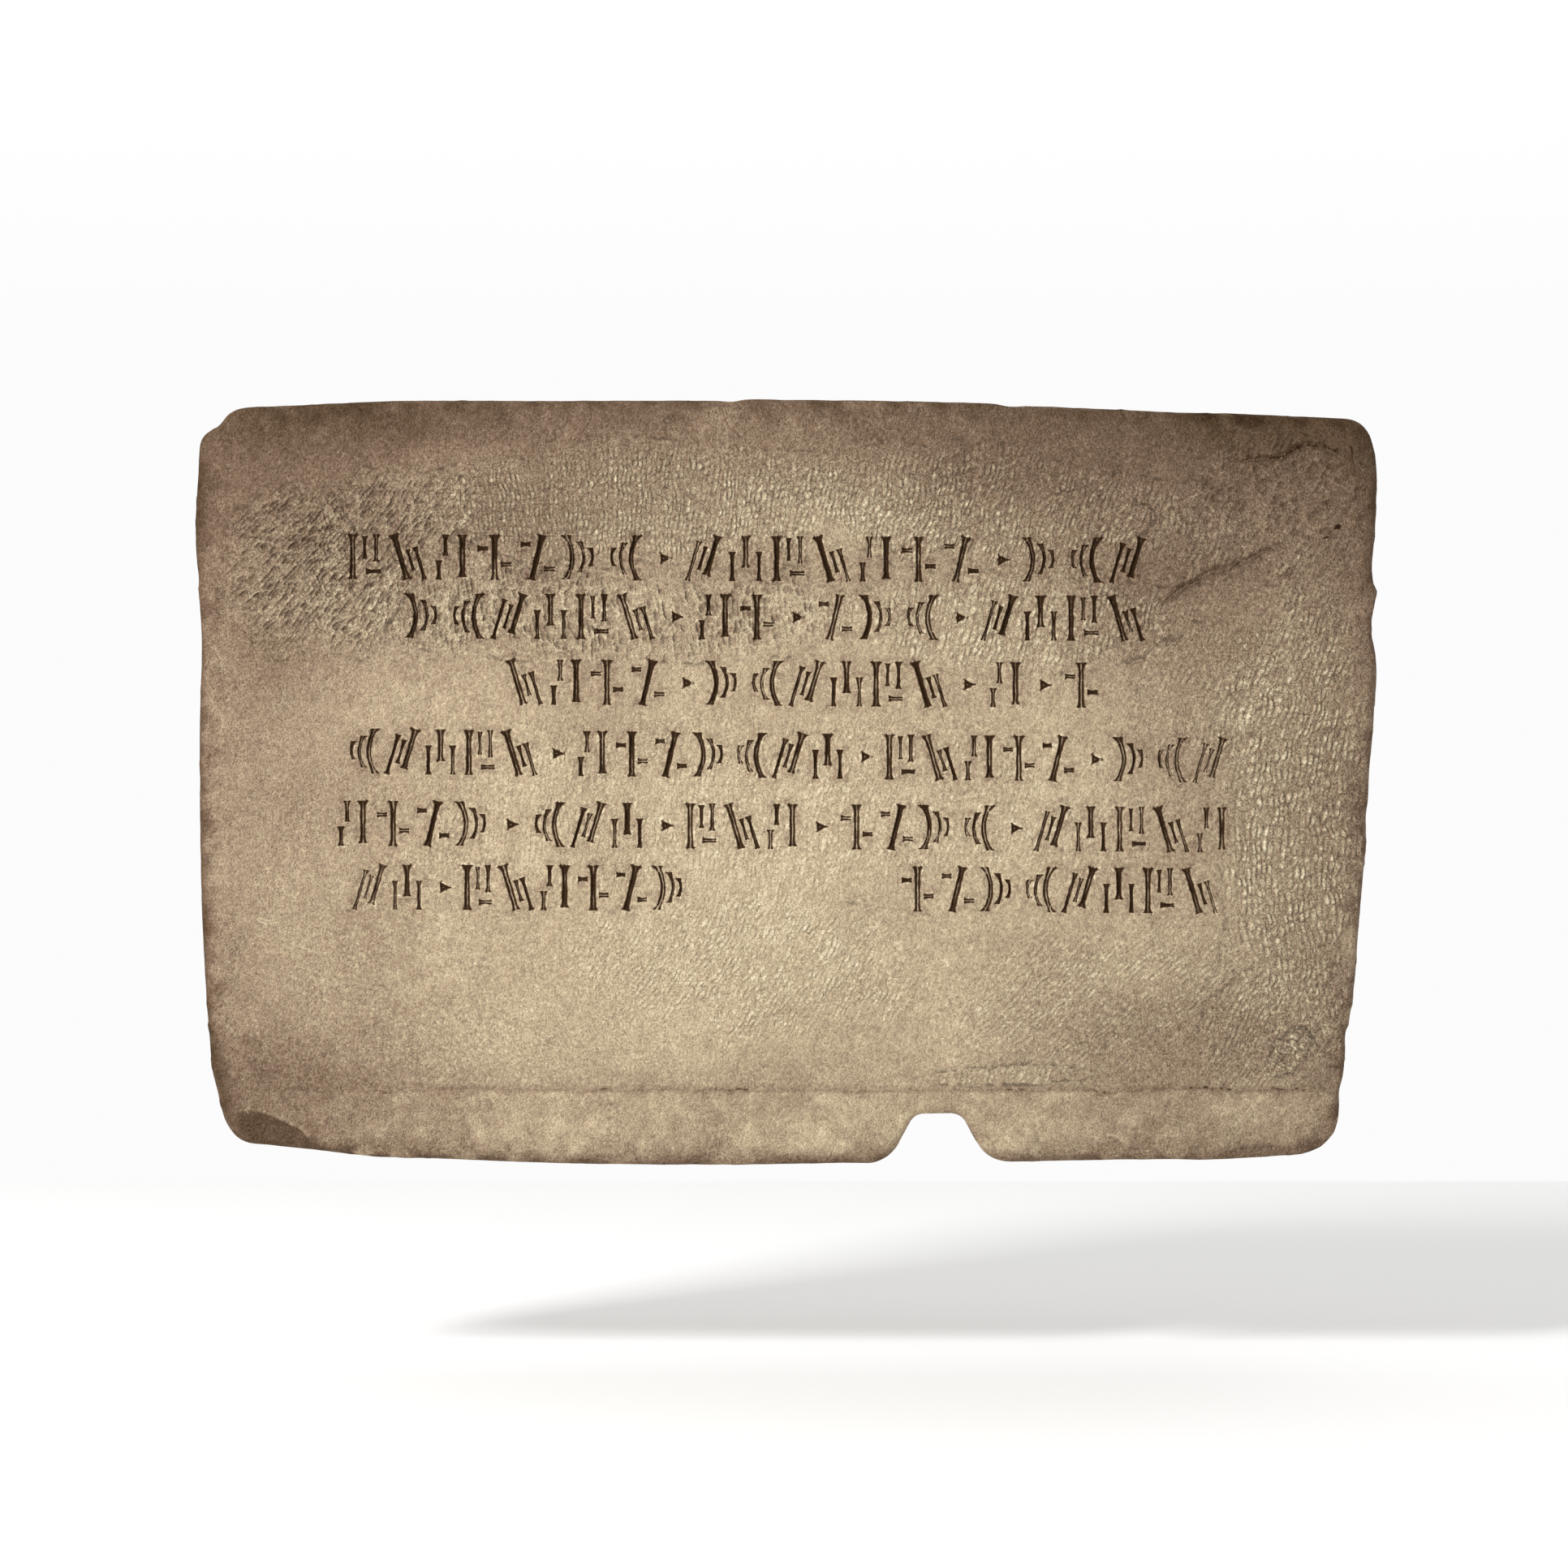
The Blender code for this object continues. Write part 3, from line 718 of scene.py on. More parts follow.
@dataclass
class CarvedRows:
    """Six rows of shallow V-cut strokes in the place of an inscription.

    They stand where the solid's do, with the same signs, but are narrower and finer.  Each sign
    is sign_stride kinds on from the last, and each row starts row_stride kinds on.  In the faint
    stretches, given by x, z, reach along x and loss, there is less dirt and painted shade in the cuts.
    """

    cap_height: float = 0.031
    stem_width: float = 0.0036
    dash_width: float = 0.0027
    stem_depth: float = 0.002
    dash_depth: float = 0.0014
    dash_flares: Pair = (1.35, 1.8)
    faint_reach_z: float = 0.022
    word_gap: float = 0.85
    sign_fill: float = 0.78
    point_size: float = 0.0046
    sign_stride: int = 4
    row_stride: int = 2
    faint: tuple[tuple[float, float, float, float], ...] = (
        (0.29, 0.015, 0.045, 0.28),
        (0.27, -0.033, 0.06, 0.22),
        (-0.285, -0.075, 0.035, 0.3),
        (0.3, -0.076, 0.03, 0.25),
    )
    rows: tuple[Row, ...] = each(
        Row,
        (-0.306, 0.257, 0.142, 0.1394, (7, 7, 3)),
        (-0.265, 0.256, 0.1005, 0.0988, (6, 2, 3, 4)),
        (-0.194, 0.224, 0.0544, 0.0519, (4, 6, 1, 1)),
        (-0.307, 0.313, 0.006, -0.0008, (5, 7, 5, 3)),
        (-0.314, 0.315, -0.0444, -0.0492, (4, 3, 3, 4, 5)),
        (-0.302, -0.065, -0.0891, -0.09, (2, 6)),
        (0.081, 0.307, -0.0905, -0.0919, (8,)),
    )
    signs: tuple[Sign, ...] = each(
        Sign,
        (0, 0, ((0.12, 0, 1, 1.1), (0.48, 0.46, 0.96, 0.55), (0.82, 0.4, 1, 0.7)), ((0.52, 0.94, 0.17),)),
        (0.3, 0, ((0.2, 0, 0.88, 0.65), (0.47, 0.24, 0.76, 0.55), (0.76, 0.12, 1, 1.05))),
        (0, 0.15, ((0.06, 0.02, 1, 1), (0.46, 0.18, 0.86, 0.65), (0.78, 0.32, 0.72, 0.55))),
        (0, 0, ((0.5, 0, 1, 1.1),), ((0, 0.3, 0.7), (0.7, 1, 0.34))),
        (-0.3, 0, ((0.26, 0, 1, 1.1), (0.56, 0.2, 0.66, 0.55), (0.84, 0, 0.72, 0.65))),
        (0, 0, ((0.08, 0, 0.64, 0.7), (0.48, 0.3, 1, 1.05), (0.88, 0, 0.64, 0.7))),
        (0, -0.15, ((0.22, 0.32, 0.72, 0.55), (0.54, 0.14, 0.84, 0.65), (0.92, 0, 1, 1))),
        (0.24, 0, ((0.48, 0, 1, 1.05),), ((0, 0.28, 0.8), (0.7, 1, 0.24))),
        (0, 0, ((0.12, 0, 0.42, 0.7), (0.32, 0.54, 1, 0.7), (0.82, 0.06, 1, 1.1))),
    )

    def strokes_of(self, sign: Sign, x: float, foot_z: float, width: float) -> list[Stroke]:
        """The strokes of one sign.

        Args:
            sign: which sign it is.
            x: the left side of its cell.
            foot_z: the row's foot line there.
            width: the cell's width.

        Returns:
            Its stems and dashes.
        """
        made = []
        for place, low, high, thickness in sign.stems:
            middle, run = (low + high) / 2, sign.lean * self.cap_height
            ends = [np.array([x + place * width + run * (level - middle), foot_z + level * self.cap_height])
                    for level in (low, high)]
            bow = sign.bow * (high - low) * self.cap_height
            size = (thickness * self.stem_width, self.stem_depth * min(1.0, 0.3 + 0.7 * thickness))
            made.append(Stroke(*ends, bow, *size))
        for start, end, level in sign.dashes:
            z = foot_z + level * self.cap_height
            ends = [np.array([x + end * width, z]), np.array([x + start * width, z])]
            made.append(Stroke(*ends, 0.0, self.dash_width, self.dash_depth, self.dash_flares))
        return made

    def layout(self) -> tuple[list[Stroke], list[Array]]:
        """Every stroke and every dividing point, row by row, with the fainter stretches.

        Returns:
            The strokes, and the places of the dividing points.
        """
        strokes, points = [], []
        for number, row in enumerate(self.rows):
            places = sum(row.groups) + self.word_gap * (len(row.groups) - 1)
            pitch = (row.end - row.start) / places
            slope = (row.end_foot - row.start_foot) / (row.end - row.start)
            kind, x = number * self.row_stride, row.start
            for group_number, group in enumerate(row.groups):
                if group_number:
                    middle = x + pitch * (self.word_gap - 1 + self.sign_fill) / 2
                    height = row.start_foot + slope * (middle - row.start) + self.cap_height / 2
                    points.append(np.array([middle, height]))
                    x += pitch * self.word_gap
                for _ in range(group):
                    foot_z = row.start_foot + slope * (x - row.start)
                    sign = self.signs[kind % len(self.signs)]
                    strokes += self.strokes_of(sign, x, foot_z, pitch * self.sign_fill)
                    kind += self.sign_stride
                    x += pitch
        for stroke in strokes:
            x, z = (stroke.foot + stroke.head) / 2
            for at_x, at_z, reach, loss in self.faint:
                stroke.dirt -= loss * float(bell(x, at_x, reach) * bell(z, at_z, self.faint_reach_z))
        return strokes, points

    def dividing_point(self, centre: Array, rng: Random) -> Points:
        """A three-sided pit with its tip to the right: rim, half-way ring and one deepest point.

        Args:
            centre: where it is.
            rng: random numbers for its unevenness.

        Returns:
            Its points, with a ring of burr outside the rim.
        """
        share = np.linspace(0.0, 3.0, 9, endpoint=False)
        reach = self.point_size * np.where(np.arange(3) == 0, 1.25, 0.95)
        angle = math.tau * np.arange(3) / 3
        corners = np.column_stack([np.cos(angle), np.sin(angle)]) * reach[:, None]
        part = (share % 1)[:, None]
        rim = corners[share.astype(int)] * (1 - part) + corners[(share.astype(int) + 1) % 3] * part
        rim = rim * (1 - 0.16 * np.sin(math.pi * part)) + rng.uniform(-1, 1, rim.shape) * 0.0002
        away = rim / np.linalg.norm(rim, axis=1, keepdims=True)
        rings = [rim * 0.5, rim, rim + away * 0.0008, np.zeros((1, 2))]
        sizes = [len(ring) for ring in rings]
        # painted shade and highlight: the pit's walls dark as dirt and shade, its burr ring paler
        level = np.repeat([0.55, 0.0, -0.06, 1.0], sizes)
        dirt = np.repeat([0.95, 0.6, 0.05, 0.2], sizes)
        tone = np.repeat([0.0, 0.0, 0.4, 0.0], sizes)
        loop = np.arange(9) + 9
        edges = np.column_stack([loop, np.roll(loop, -1)])
        return Points(np.concatenate(rings) + centre, level * self.dash_depth, dirt, tone, edges)


@dataclass(frozen=True)
class DressedPatch:
    """A stretch of the front that a toothed chisel went over in rows.

    Attributes:
        dressing: which going-over it belongs to.
        centre, reach, turn: the ellipse that it fills, its half sizes and its turn in degrees.
        lean, fan: how far the ticks lean to the right of upright, in degrees, and how much more
            for each metre along x and along z.
        slope, bend: the slope of the rows in degrees, and how they curve, for each metre.
        pitch, row_gap: between the chisel's teeth, and between rows.
        strength: how high the grains between the ticks stand, up to about 1.2; negative for pits.
        tone: how pale the dressing left the stone, or soiled if negative; on the deep ticks it darkens the
            keels and brightens the ridges, as painted shade and highlight.
        pits: the share of ticks that are deep enough to be pits of the mesh.
    """

    dressing: Dressing
    centre: Pair
    reach: Pair
    turn: float
    lean: float
    fan: Pair
    slope: float
    bend: float
    pitch: float
    row_gap: float
    strength: float
    tone: float
    pits: float = 0.2

    def fullness(self, places: Array) -> Array:
        """How densely the patch is worked: 1 about its middle, falling raggedly to 0 at its rim.

        Args:
            places: points (n, 2).

        Returns:
            From 0 to 1 for each.
        """
        offset = turned(places - self.centre, -self.turn) / self.reach
        points = upright(places)
        ragged = 0.5 * NOISE.at(points, 0.03) + 0.3 * NOISE.at(points, 0.011)
        return np.clip(1.5 * (1 - (offset ** 2).sum(axis=1)) + ragged, 0.0, 1.0)

    def lattice(self, places: Array) -> tuple[Array, Array]:
        """Where places lie on the lattice of teeth and rows.

        The tooth's number is the distance square to the ticks over the pitch, and the row's is
        the distance square to the rows, less bend times the square of that along them, over the
        gap.  Both wander a little, as a hand does.

        Args:
            places: points (n, 2).

        Returns:
            The tooth and the row of each, as fractional numbers.
        """
        offset = places - self.centre
        lean = np.radians(self.lean + offset @ np.array(self.fan))
        across = offset[:, 0] * np.cos(lean) - offset[:, 1] * np.sin(lean)
        along_row, over_row = turned(offset, -self.slope).T
        points = upright(places)
        tooth = across / self.pitch + 0.7 * NOISE.at(points, 0.024) + 0.36 * NOISE.at(points, 0.01)
        row = (over_row - self.bend * along_row ** 2) / self.row_gap
        return tooth + 40, row + 0.45 * NOISE.at(points, 0.031) + 0.34 * NOISE.at(points, 0.0095) + 40

    def ticks(self, rng: Random) -> Points:
        """The patch's deepest ticks as pits of the mesh.

        Args:
            rng: random numbers for the hand's unevenness.

        Returns:
            Two ends, two keel points and two ridge points for each pit.
        """
        far = 1.25 * max(self.reach)
        u, v = np.meshgrid(np.arange(-far, far, self.pitch), np.arange(-far, far, self.row_gap))
        u = u + 0.35 * self.pitch * rng.uniform(-1, 1, u.shape)
        v = v + self.bend * u ** 2 + 0.35 * self.row_gap * rng.uniform(-1, 1, u.shape)
        centre = turned(np.stack([u, v], axis=-1).reshape(-1, 2), self.slope) + self.centre
        fullness = self.fullness(centre)
        clustered = np.clip(1 + 0.6 * NOISE.at(upright(centre), 0.016), 0.1, 2)
        keep = rng.uniform(0, 1, len(centre)) < self.pits * fullness * clustered
        centre, fullness = centre[keep], fullness[keep]
        lean = self.lean + (centre - self.centre) @ np.array(self.fan)
        lean = np.radians(lean + 9.0 * rng.uniform(-1, 1, len(centre)))
        size = (0.75 + 0.25 * fullness) * rng.uniform(0.7, 1.2, len(centre))
        along = np.column_stack([np.sin(lean), np.cos(lean)])
        across = to_the_right(along)
        shares = 0.95 * self.row_gap * size[:, None] * np.array([0.55, -0.55, 0.22, -0.24, 0.3, -0.22])
        aside = self.pitch * np.array([0.0, 0.0, 0.0, 0.0, 0.42, 0.42])
        places = (centre[:, None, :] + along[:, None, :] * shares[..., None]
                  + across[:, None, :] * aside[None, :, None])
        level = np.array([0.05, 0.1, 1.0, 0.85, -0.38, -0.3]) * 0.00055 * abs(self.strength)
        # painted shade and highlight: dark keels and pale ridges on the ticks, with the patch's own tone
        toned = min(self.tone, 0.0) * np.array([0.2, 0.2, 1.0, 1.0, 0.0, 0.0])
        toned = toned + max(self.tone, 0.0) * np.array([0.3, 0.3, 0.0, 0.0, 1.0, 1.0])
        cut = level[None, :] * size[:, None] * rng.uniform(0.6, 1.2, (len(centre), 1))
        tone = toned[None, :] * rng.uniform(0.3, 1.1, (len(centre), 1))
        flat = places.reshape(-1, 2)
        return Points(flat, cut.ravel(), np.zeros(len(flat)), tone.ravel())


FIRST, SECOND = Dressing


@dataclass
class ChiselDressing:
    """All the dressed patches of the front."""

    patches: tuple[DressedPatch, ...] = each(
        DressedPatch,
        # the coarse field down the right side
        (FIRST, (0.362, -0.02), (0.066, 0.185), 2, 6, (0, 60), 8, 0, 0.0041, 0.0076, 1.2, 0.34, 0.26),
        # the finer corner under it
        (SECOND, (0.34, -0.172), (0.062, 0.048), 20, 30, (0, 0), -8, 0, 0.0034, 0.006, 0.7, 0.22, 0.1),
        # pale pecks at the upper right
        (FIRST, (0.28, 0.176), (0.056, 0.036), -20, 18, (0, 0), 12, 0, 0.0044, 0.0088, 0.77, 0.5, 0.4),
        # the dark fan at the upper left
        (FIRST, (-0.326, 0.148), (0.072, 0.062), 12, 38, (-120, 60), 0, 0, 0.0029, 0.0056, -1.22,
         -0.05, 0.18),
        (SECOND, (-0.315, 0.161), (0.019, 0.052), -12, -24, (0, 0), 20, 0, 0.003, 0.0058, -0.8, -0.05, 0.15),
        (FIRST, (-0.272, 0.182), (0.062, 0.04), 8, 32, (0, 0), 5, 0, 0.0031, 0.0058, -1.06, -0.05, 0.18),
        (SECOND, (-0.24, 0.13), (0.06, 0.042), 20, -6, (-60, 0), 20, 0, 0.0034, 0.0056, -0.66, -0.05, 0.2),
        # the upper middle, almost upright
        (SECOND, (-0.09, 0.194), (0.19, 0.048), 0, 2, (60, 0), 6, 0.4, 0.0034, 0.0058, 0.95, 0.2, 0.24),
        # the upper middle right, leaning
        (FIRST, (0.135, 0.19), (0.145, 0.046), -6, 14, (60, 0), 14, 0, 0.0036, 0.0062, 0.95, 0.24, 0.22),
        # between and around the first two rows
        (FIRST, (-0.11, 0.118), (0.2, 0.036), 0, -8, (0, 0), 4, 0, 0.0038, 0.0066, -0.82, -0.75, 0.2),
        (SECOND, (0.16, 0.115), (0.15, 0.038), 0, 14, (0, 0), 8, 0, 0.0039, 0.0068, 0.85, 0.2, 0.15),
        # pale arcs in the lower middle
        (FIRST, (-0.03, -0.133), (0.16, 0.056), -4, 30, (-40, 0), 4, 1.7, 0.0034, 0.0058, 0.5, 0.22, 0.12),
        # faint sweeps at the lower right of the middle
        (SECOND, (0.215, -0.155), (0.125, 0.056), 16, 44, (0, 0), -4, 0, 0.0035, 0.0066, 0.5, 0.05, 0.1),
        # short ticks over the margin line
        (SECOND, (-0.185, -0.18), (0.15, 0.034), 3, -48, (0, 0), 2, 0, 0.0036, 0.0056, 0.26, 0, 0.08),
        # faint level streaks over the lower left
        (FIRST, (-0.29, -0.105), (0.115, 0.07), 0, -70, (0, 0), -4, 0, 0.0044, 0.006, 0.22, 0, 0.06),
        # the row of bites over the margin line, right of the notch
        (FIRST, (0.1577, -0.2055), (0.066, 0.0085), 2, 24, (0, 0), 2, 0, 0.0036, 0.0075, 0.55, 0.3, 0),
        # a ladder of short ridges near the lower right corner
        (FIRST, (0.3524, -0.1887), (0.012, 0.024), -38, -58, (0, 0), 56, 0, 0.0028, 0.008, 1.1, -0.05, 0.04),
        # the middle, between the lower rows
        (SECOND, (-0.03, -0.02), (0.32, 0.075), 0, 10, (30, 0), 3, 0.3, 0.0036, 0.0066, 0.3, 0, 0.05),
        # uneven stone between the rows' ends and the coarse field
        (SECOND, (0.285, 0.07), (0.055, 0.06), 30, 22, (0, 0), 14, 0, 0.004, 0.006, 0.38, 0, 0.12),
        # weathered stone at the upper right
        (SECOND, (0.34, 0.2), (0.078, 0.056), -10, 40, (0, 0), -20, 0, 0.005, 0.0064, -0.62, 0, 0.16),
    )

    def points(self, strokes: list[Stroke], taken: Taken, outline: SlabOutline, ring: Array,
               rng: Random) -> list[Points]:
        """The pits of every patch that find a free place.

        Args:
            strokes: the carved strokes, which pits keep clear of.
            taken: the chequer of places already used, which is added to.
            outline: the outline.
            ring: the front's edge, which pits keep clear of.
            rng: random numbers.

        Returns:
            One set of points for each patch.
        """
        made = []
        for patch in self.patches:
            ticks = patch.ticks(rng)
            clear = taken.free(ticks.places) & (outline.depth_inside(ticks.places, ring) > 0.0022)
            clear &= ~covered(strokes, ticks.places, 0.0006)
            clear = np.repeat(clear.reshape(-1, 6).all(axis=1), 6)
            kept = ticks.kept(clear)
            taken.mark(kept.places, 0.0011)
            made.append(kept)
        return made

    def layers(self, places: Array) -> tuple[dict[str, Array], Array]:
        """The tooth, row and strength of each going-over at each place, and the tone of both.

        Args:
            places: points (n, 2).

        Returns:
            An array (n, 3) for the layer of each going-over, and a tone for each place.
        """
        made, tone, signs = {}, np.zeros(len(places)), np.ones(len(places))
        for dressing in Dressing:
            layer, second = np.zeros((len(places), 3)), np.zeros(len(places))
            for patch in (patch for patch in self.patches if patch.dressing is dressing):
                fullness = patch.fullness(places)
                strength = fullness * abs(patch.strength)
                stronger = strength > layer[:, 2]
                second = np.maximum(second, np.where(stronger, layer[:, 2], strength))
                sign = math.copysign(1.0, patch.strength)
                mark = np.column_stack([*patch.lattice(places), strength])
                layer[stronger] = mark[stronger]
                signs = np.where(stronger, sign, signs)
                tone += patch.tone * fullness
            layer[:, 2] *= signs * np.clip((layer[:, 2] - second) / 0.12, 0, 1)
            made[dressing.value] = layer
        return made, tone


@dataclass(frozen=True)
class Crack:
    """A crease, scratch or groove along a smooth line through a few places.

    Attributes:
        line: the places that it runs through, (x, z).
        width, depth: at its widest.
        dirt, tone: how dark the dirt in it is, and how pale its edges are; a fold's crease uses both to
            paint the step's shade.
        stray: how far it wanders from side to side.
        point_gap: between its points.
    """

    line: tuple[Pair, ...]
    width: float
    depth: float
    dirt: float
    tone: float = 0.0
    stray: float = 0.0006
    point_gap: float = 0.0017

    def points(self, rng: Random) -> Points:
        """Three lines of points: two lips and a keel, W sqrt(4 s (1 - s)) wide and pinched shut.

        Args:
            rng: random numbers for its wandering.

        Returns:
            The crack's points, and its keel and lips as edges.
        """
        knots = np.array(self.line)
        length = travelled_along(knots)[-1]
        count = max(4, round(length / self.point_gap))
        share = np.linspace(0, 1, count + 1)
        line = read_along(knots, share * length)
        line[1:-1] = 0.25 * line[:-2] + 0.5 * line[1:-1] + 0.25 * line[2:]
        along = np.gradient(line, axis=0)
        along /= np.linalg.norm(along, axis=1, keepdims=True)
        across = to_the_right(along)
        line = line + across * (self.stray * rng.uniform(-1, 1, (count + 1, 1)))
        open_ = np.sqrt(np.clip(4 * share * (1 - share), 0.02, 1)) * rng.uniform(0.6, 1.0, count + 1)
        half = self.width / 2 * open_
        places = np.stack([line - across * half[:, None], line, line + across * half[:, None]], axis=1)
        level = np.stack([-0.1 * open_, open_, 0.05 * open_], axis=1) * self.depth
        patchy = open_ * np.interp(share, np.linspace(0, 1, 8), rng.uniform(0.35, 1.0, 8))
        dirt = np.stack([0.25 * patchy, patchy, 0.2 * patchy], axis=1) * self.dirt
        tone = np.stack([np.ones(count + 1), 0 * open_, 0.6 * np.ones(count + 1)], axis=1) * self.tone
        index = np.arange(3 * (count + 1)).reshape(-1, 3)
        edges = np.concatenate([chain(index[:, k]) for k in range(3)])
        return Points(places.reshape(-1, 2), level.ravel(), dirt.ravel(), tone.ravel(), edges)


CRACKS = each(
    Crack,
    (((0.3832, 0.1756), (0.3858, 0.1782), (0.3882, 0.1806)), 0.0048, 0.0011, 1.35),
    (((0.3754, 0.1688), (0.3774, 0.1706), (0.3794, 0.1724)), 0.0038, 0.0009, 1.15),
    (((0.296, 0.2345), (0.304, 0.2322), (0.312, 0.2296)), 0.0022, 0.0007, 0.5),
    (((0.392, 0.242), (0.3965, 0.23), (0.399, 0.213)), 0.003, 0.0009, 0.6),
    (((0.306, 0.208), (0.316, 0.203), (0.323, 0.195)), 0.002, 0.0006, 0.35),
    (((0.366, 0.199), (0.372, 0.204), (0.38, 0.205)), 0.002, 0.0006, 0.35),
    (((0.401, 0.149), (0.404, 0.138), (0.4035, 0.125)), 0.0026, 0.0009, 0.6),
    (((-0.379, 0.17), (-0.37, 0.171), (-0.3635, 0.1695)), 0.0022, 0.0008, 0.7),
    (((-0.4048, -0.1796), (-0.3995, -0.191), (-0.3951, -0.2035), (-0.3895, -0.215),
      (-0.3849, -0.2257)), 0.0024, 0.0003, 0.28, -0.6),
    (((-0.3995, -0.076), (-0.401, -0.093), (-0.399, -0.116)), 0.002, 0.0009, 0.55),
    (((-0.3215, -0.1261), (-0.324, -0.133), (-0.3218, -0.139)), 0.0018, 0.0005, 0.3),
    (((-0.3155, -0.14), (-0.318, -0.146), (-0.316, -0.1517)), 0.0018, 0.0005, 0.3),
    (((0.382, -0.17), (0.388, -0.1722), (0.393, -0.1773)), 0.0022, 0.001, 0.55),
    (((0.3905, -0.1318), (0.3935, -0.135), (0.3962, -0.1403)), 0.002, 0.0009, 0.45),
    (((0.3985, 0.012), (0.402, 0.006), (0.404, 0.0015)), 0.0022, 0.001, 0.5),
    (((0.3251, 0.0578), (0.3215, 0.049), (0.3165, 0.039)), 0.0056, 0.0011, 0.05, 0.9, 0.0002),
    (((0.3385, 0.063), (0.344, 0.0635), (0.351, 0.062)), 0.0052, 0.0009, 0.05, 0.9, 0.0002),
    (((0.0752, -0.1125), (0.0792, -0.117)), 0.003, 0.0008, 0.3, 1, 0.0002),
    (((-0.37, -0.0965), (-0.362, -0.0985), (-0.3545, -0.0968)), 0.0022, 0.0005, 0.05, 0.6),
    (((-0.036, 0.252), (-0.027, 0.247), (-0.018, 0.248)), 0.0024, 0.0008, 0.4),
    (((0.201, 0.242), (0.208, 0.237), (0.211, 0.229)), 0.0018, 0.0006, 0.35),
)


@dataclass(frozen=True)
class Fold:
    """A soft step along a line: the stone to its left stands proud and falls back behind it.

    Attributes:
        line: the places that it runs through, (x, z).
        height: how proud the stone stands at the step.
        reach: how far behind the step it takes to fall back.
        run: how wide the step's face is.
        dirt: how dark its foot is painted, dirt and painted shade of the step.
    """

    line: tuple[Pair, ...]
    height: float
    reach: float
    run: float = 0.0011
    dirt: float = 0.6

    def crease(self) -> Crack:
        """The crease at the step's foot, painted dark in its keel and on its lips: dirt and painted shade of
        the step.
        """
        return Crack(self.line, 4.0 * self.run, 0.0005, self.dirt, -1.5, 0.0004)

    def proud(self, places: Array) -> Array:
        """How proud each place stands: h e^-(d / reach) behind the step, fading at its ends.

        Args:
            places: points (n, 2).

        Returns:
            The height of each.
        """
        knots = np.array(self.line)
        start, ahead = knots[:-1], np.diff(knots, axis=0)
        offset = places[:, None, :] - start
        size = (ahead ** 2).sum(axis=1)
        share = np.clip((offset * ahead).sum(axis=2) / size, 0, 1)
        away = offset - share[..., None] * ahead
        near = np.linalg.norm(away, axis=2).argmin(axis=1)
        row = np.arange(len(places))
        distance = np.linalg.norm(away[row, near], axis=1)
        turn = ahead[near, 0] * offset[row, near, 1] - ahead[near, 1] * offset[row, near, 0]
        wander = 0.0007 * NOISE.at(upright(places), 0.012)
        signed = np.where(turn > 0, distance, -distance) + wander
        along = (near + share[row, near]) / len(size)
        ends = np.sqrt(np.clip(4 * along * (1 - along), 0, 1))
        behind = np.exp(-np.maximum(signed, 0.0) / self.reach)
        return self.height * ends * rise(signed, 0.0, self.run) * behind


@dataclass(frozen=True)
class Flake:
    """A hollow where a flake is off the front or its worn edge.

    Attributes:
        centre, size, turn: the ellipse that it fills, its half sizes and its turn in degrees.
        depth: at the middle.
        patina: how dark the hollow is.
    """

    centre: Pair
    size: Pair
    turn: float
    depth: float
    patina: float

    @staticmethod
    def ragged(places: Array) -> Array:
        """How far out of true the ellipse's rim is, a factor about 1."""
        return 1 + 0.09 * NOISE.layered(upright(places), 0.012, 3)

    def deep(self, places: Array) -> Array:
        """How deep the hollow is at each place: d (1 - r^2), with r 1 at the rim."""
        offset = turned(places - self.centre, -self.turn) / self.size
        return self.depth * (1 - (offset ** 2).sum(axis=1) * self.ragged(places) ** 2)

    def rim(self) -> Crack:
        """The upper rim, bruised a little paler.

        Returns:
            A crease along it.
        """
        angle = np.linspace(0.0, math.pi, 13)
        round_ = turned(np.column_stack([np.cos(angle), np.sin(angle)]) * self.size, self.turn)
        places = round_ / self.ragged(round_ + self.centre)[:, None] + self.centre
        return Crack(tuple(map(tuple, places.tolist())), 0.0024, 0.0001, 0.0, 0.35, 0.0)


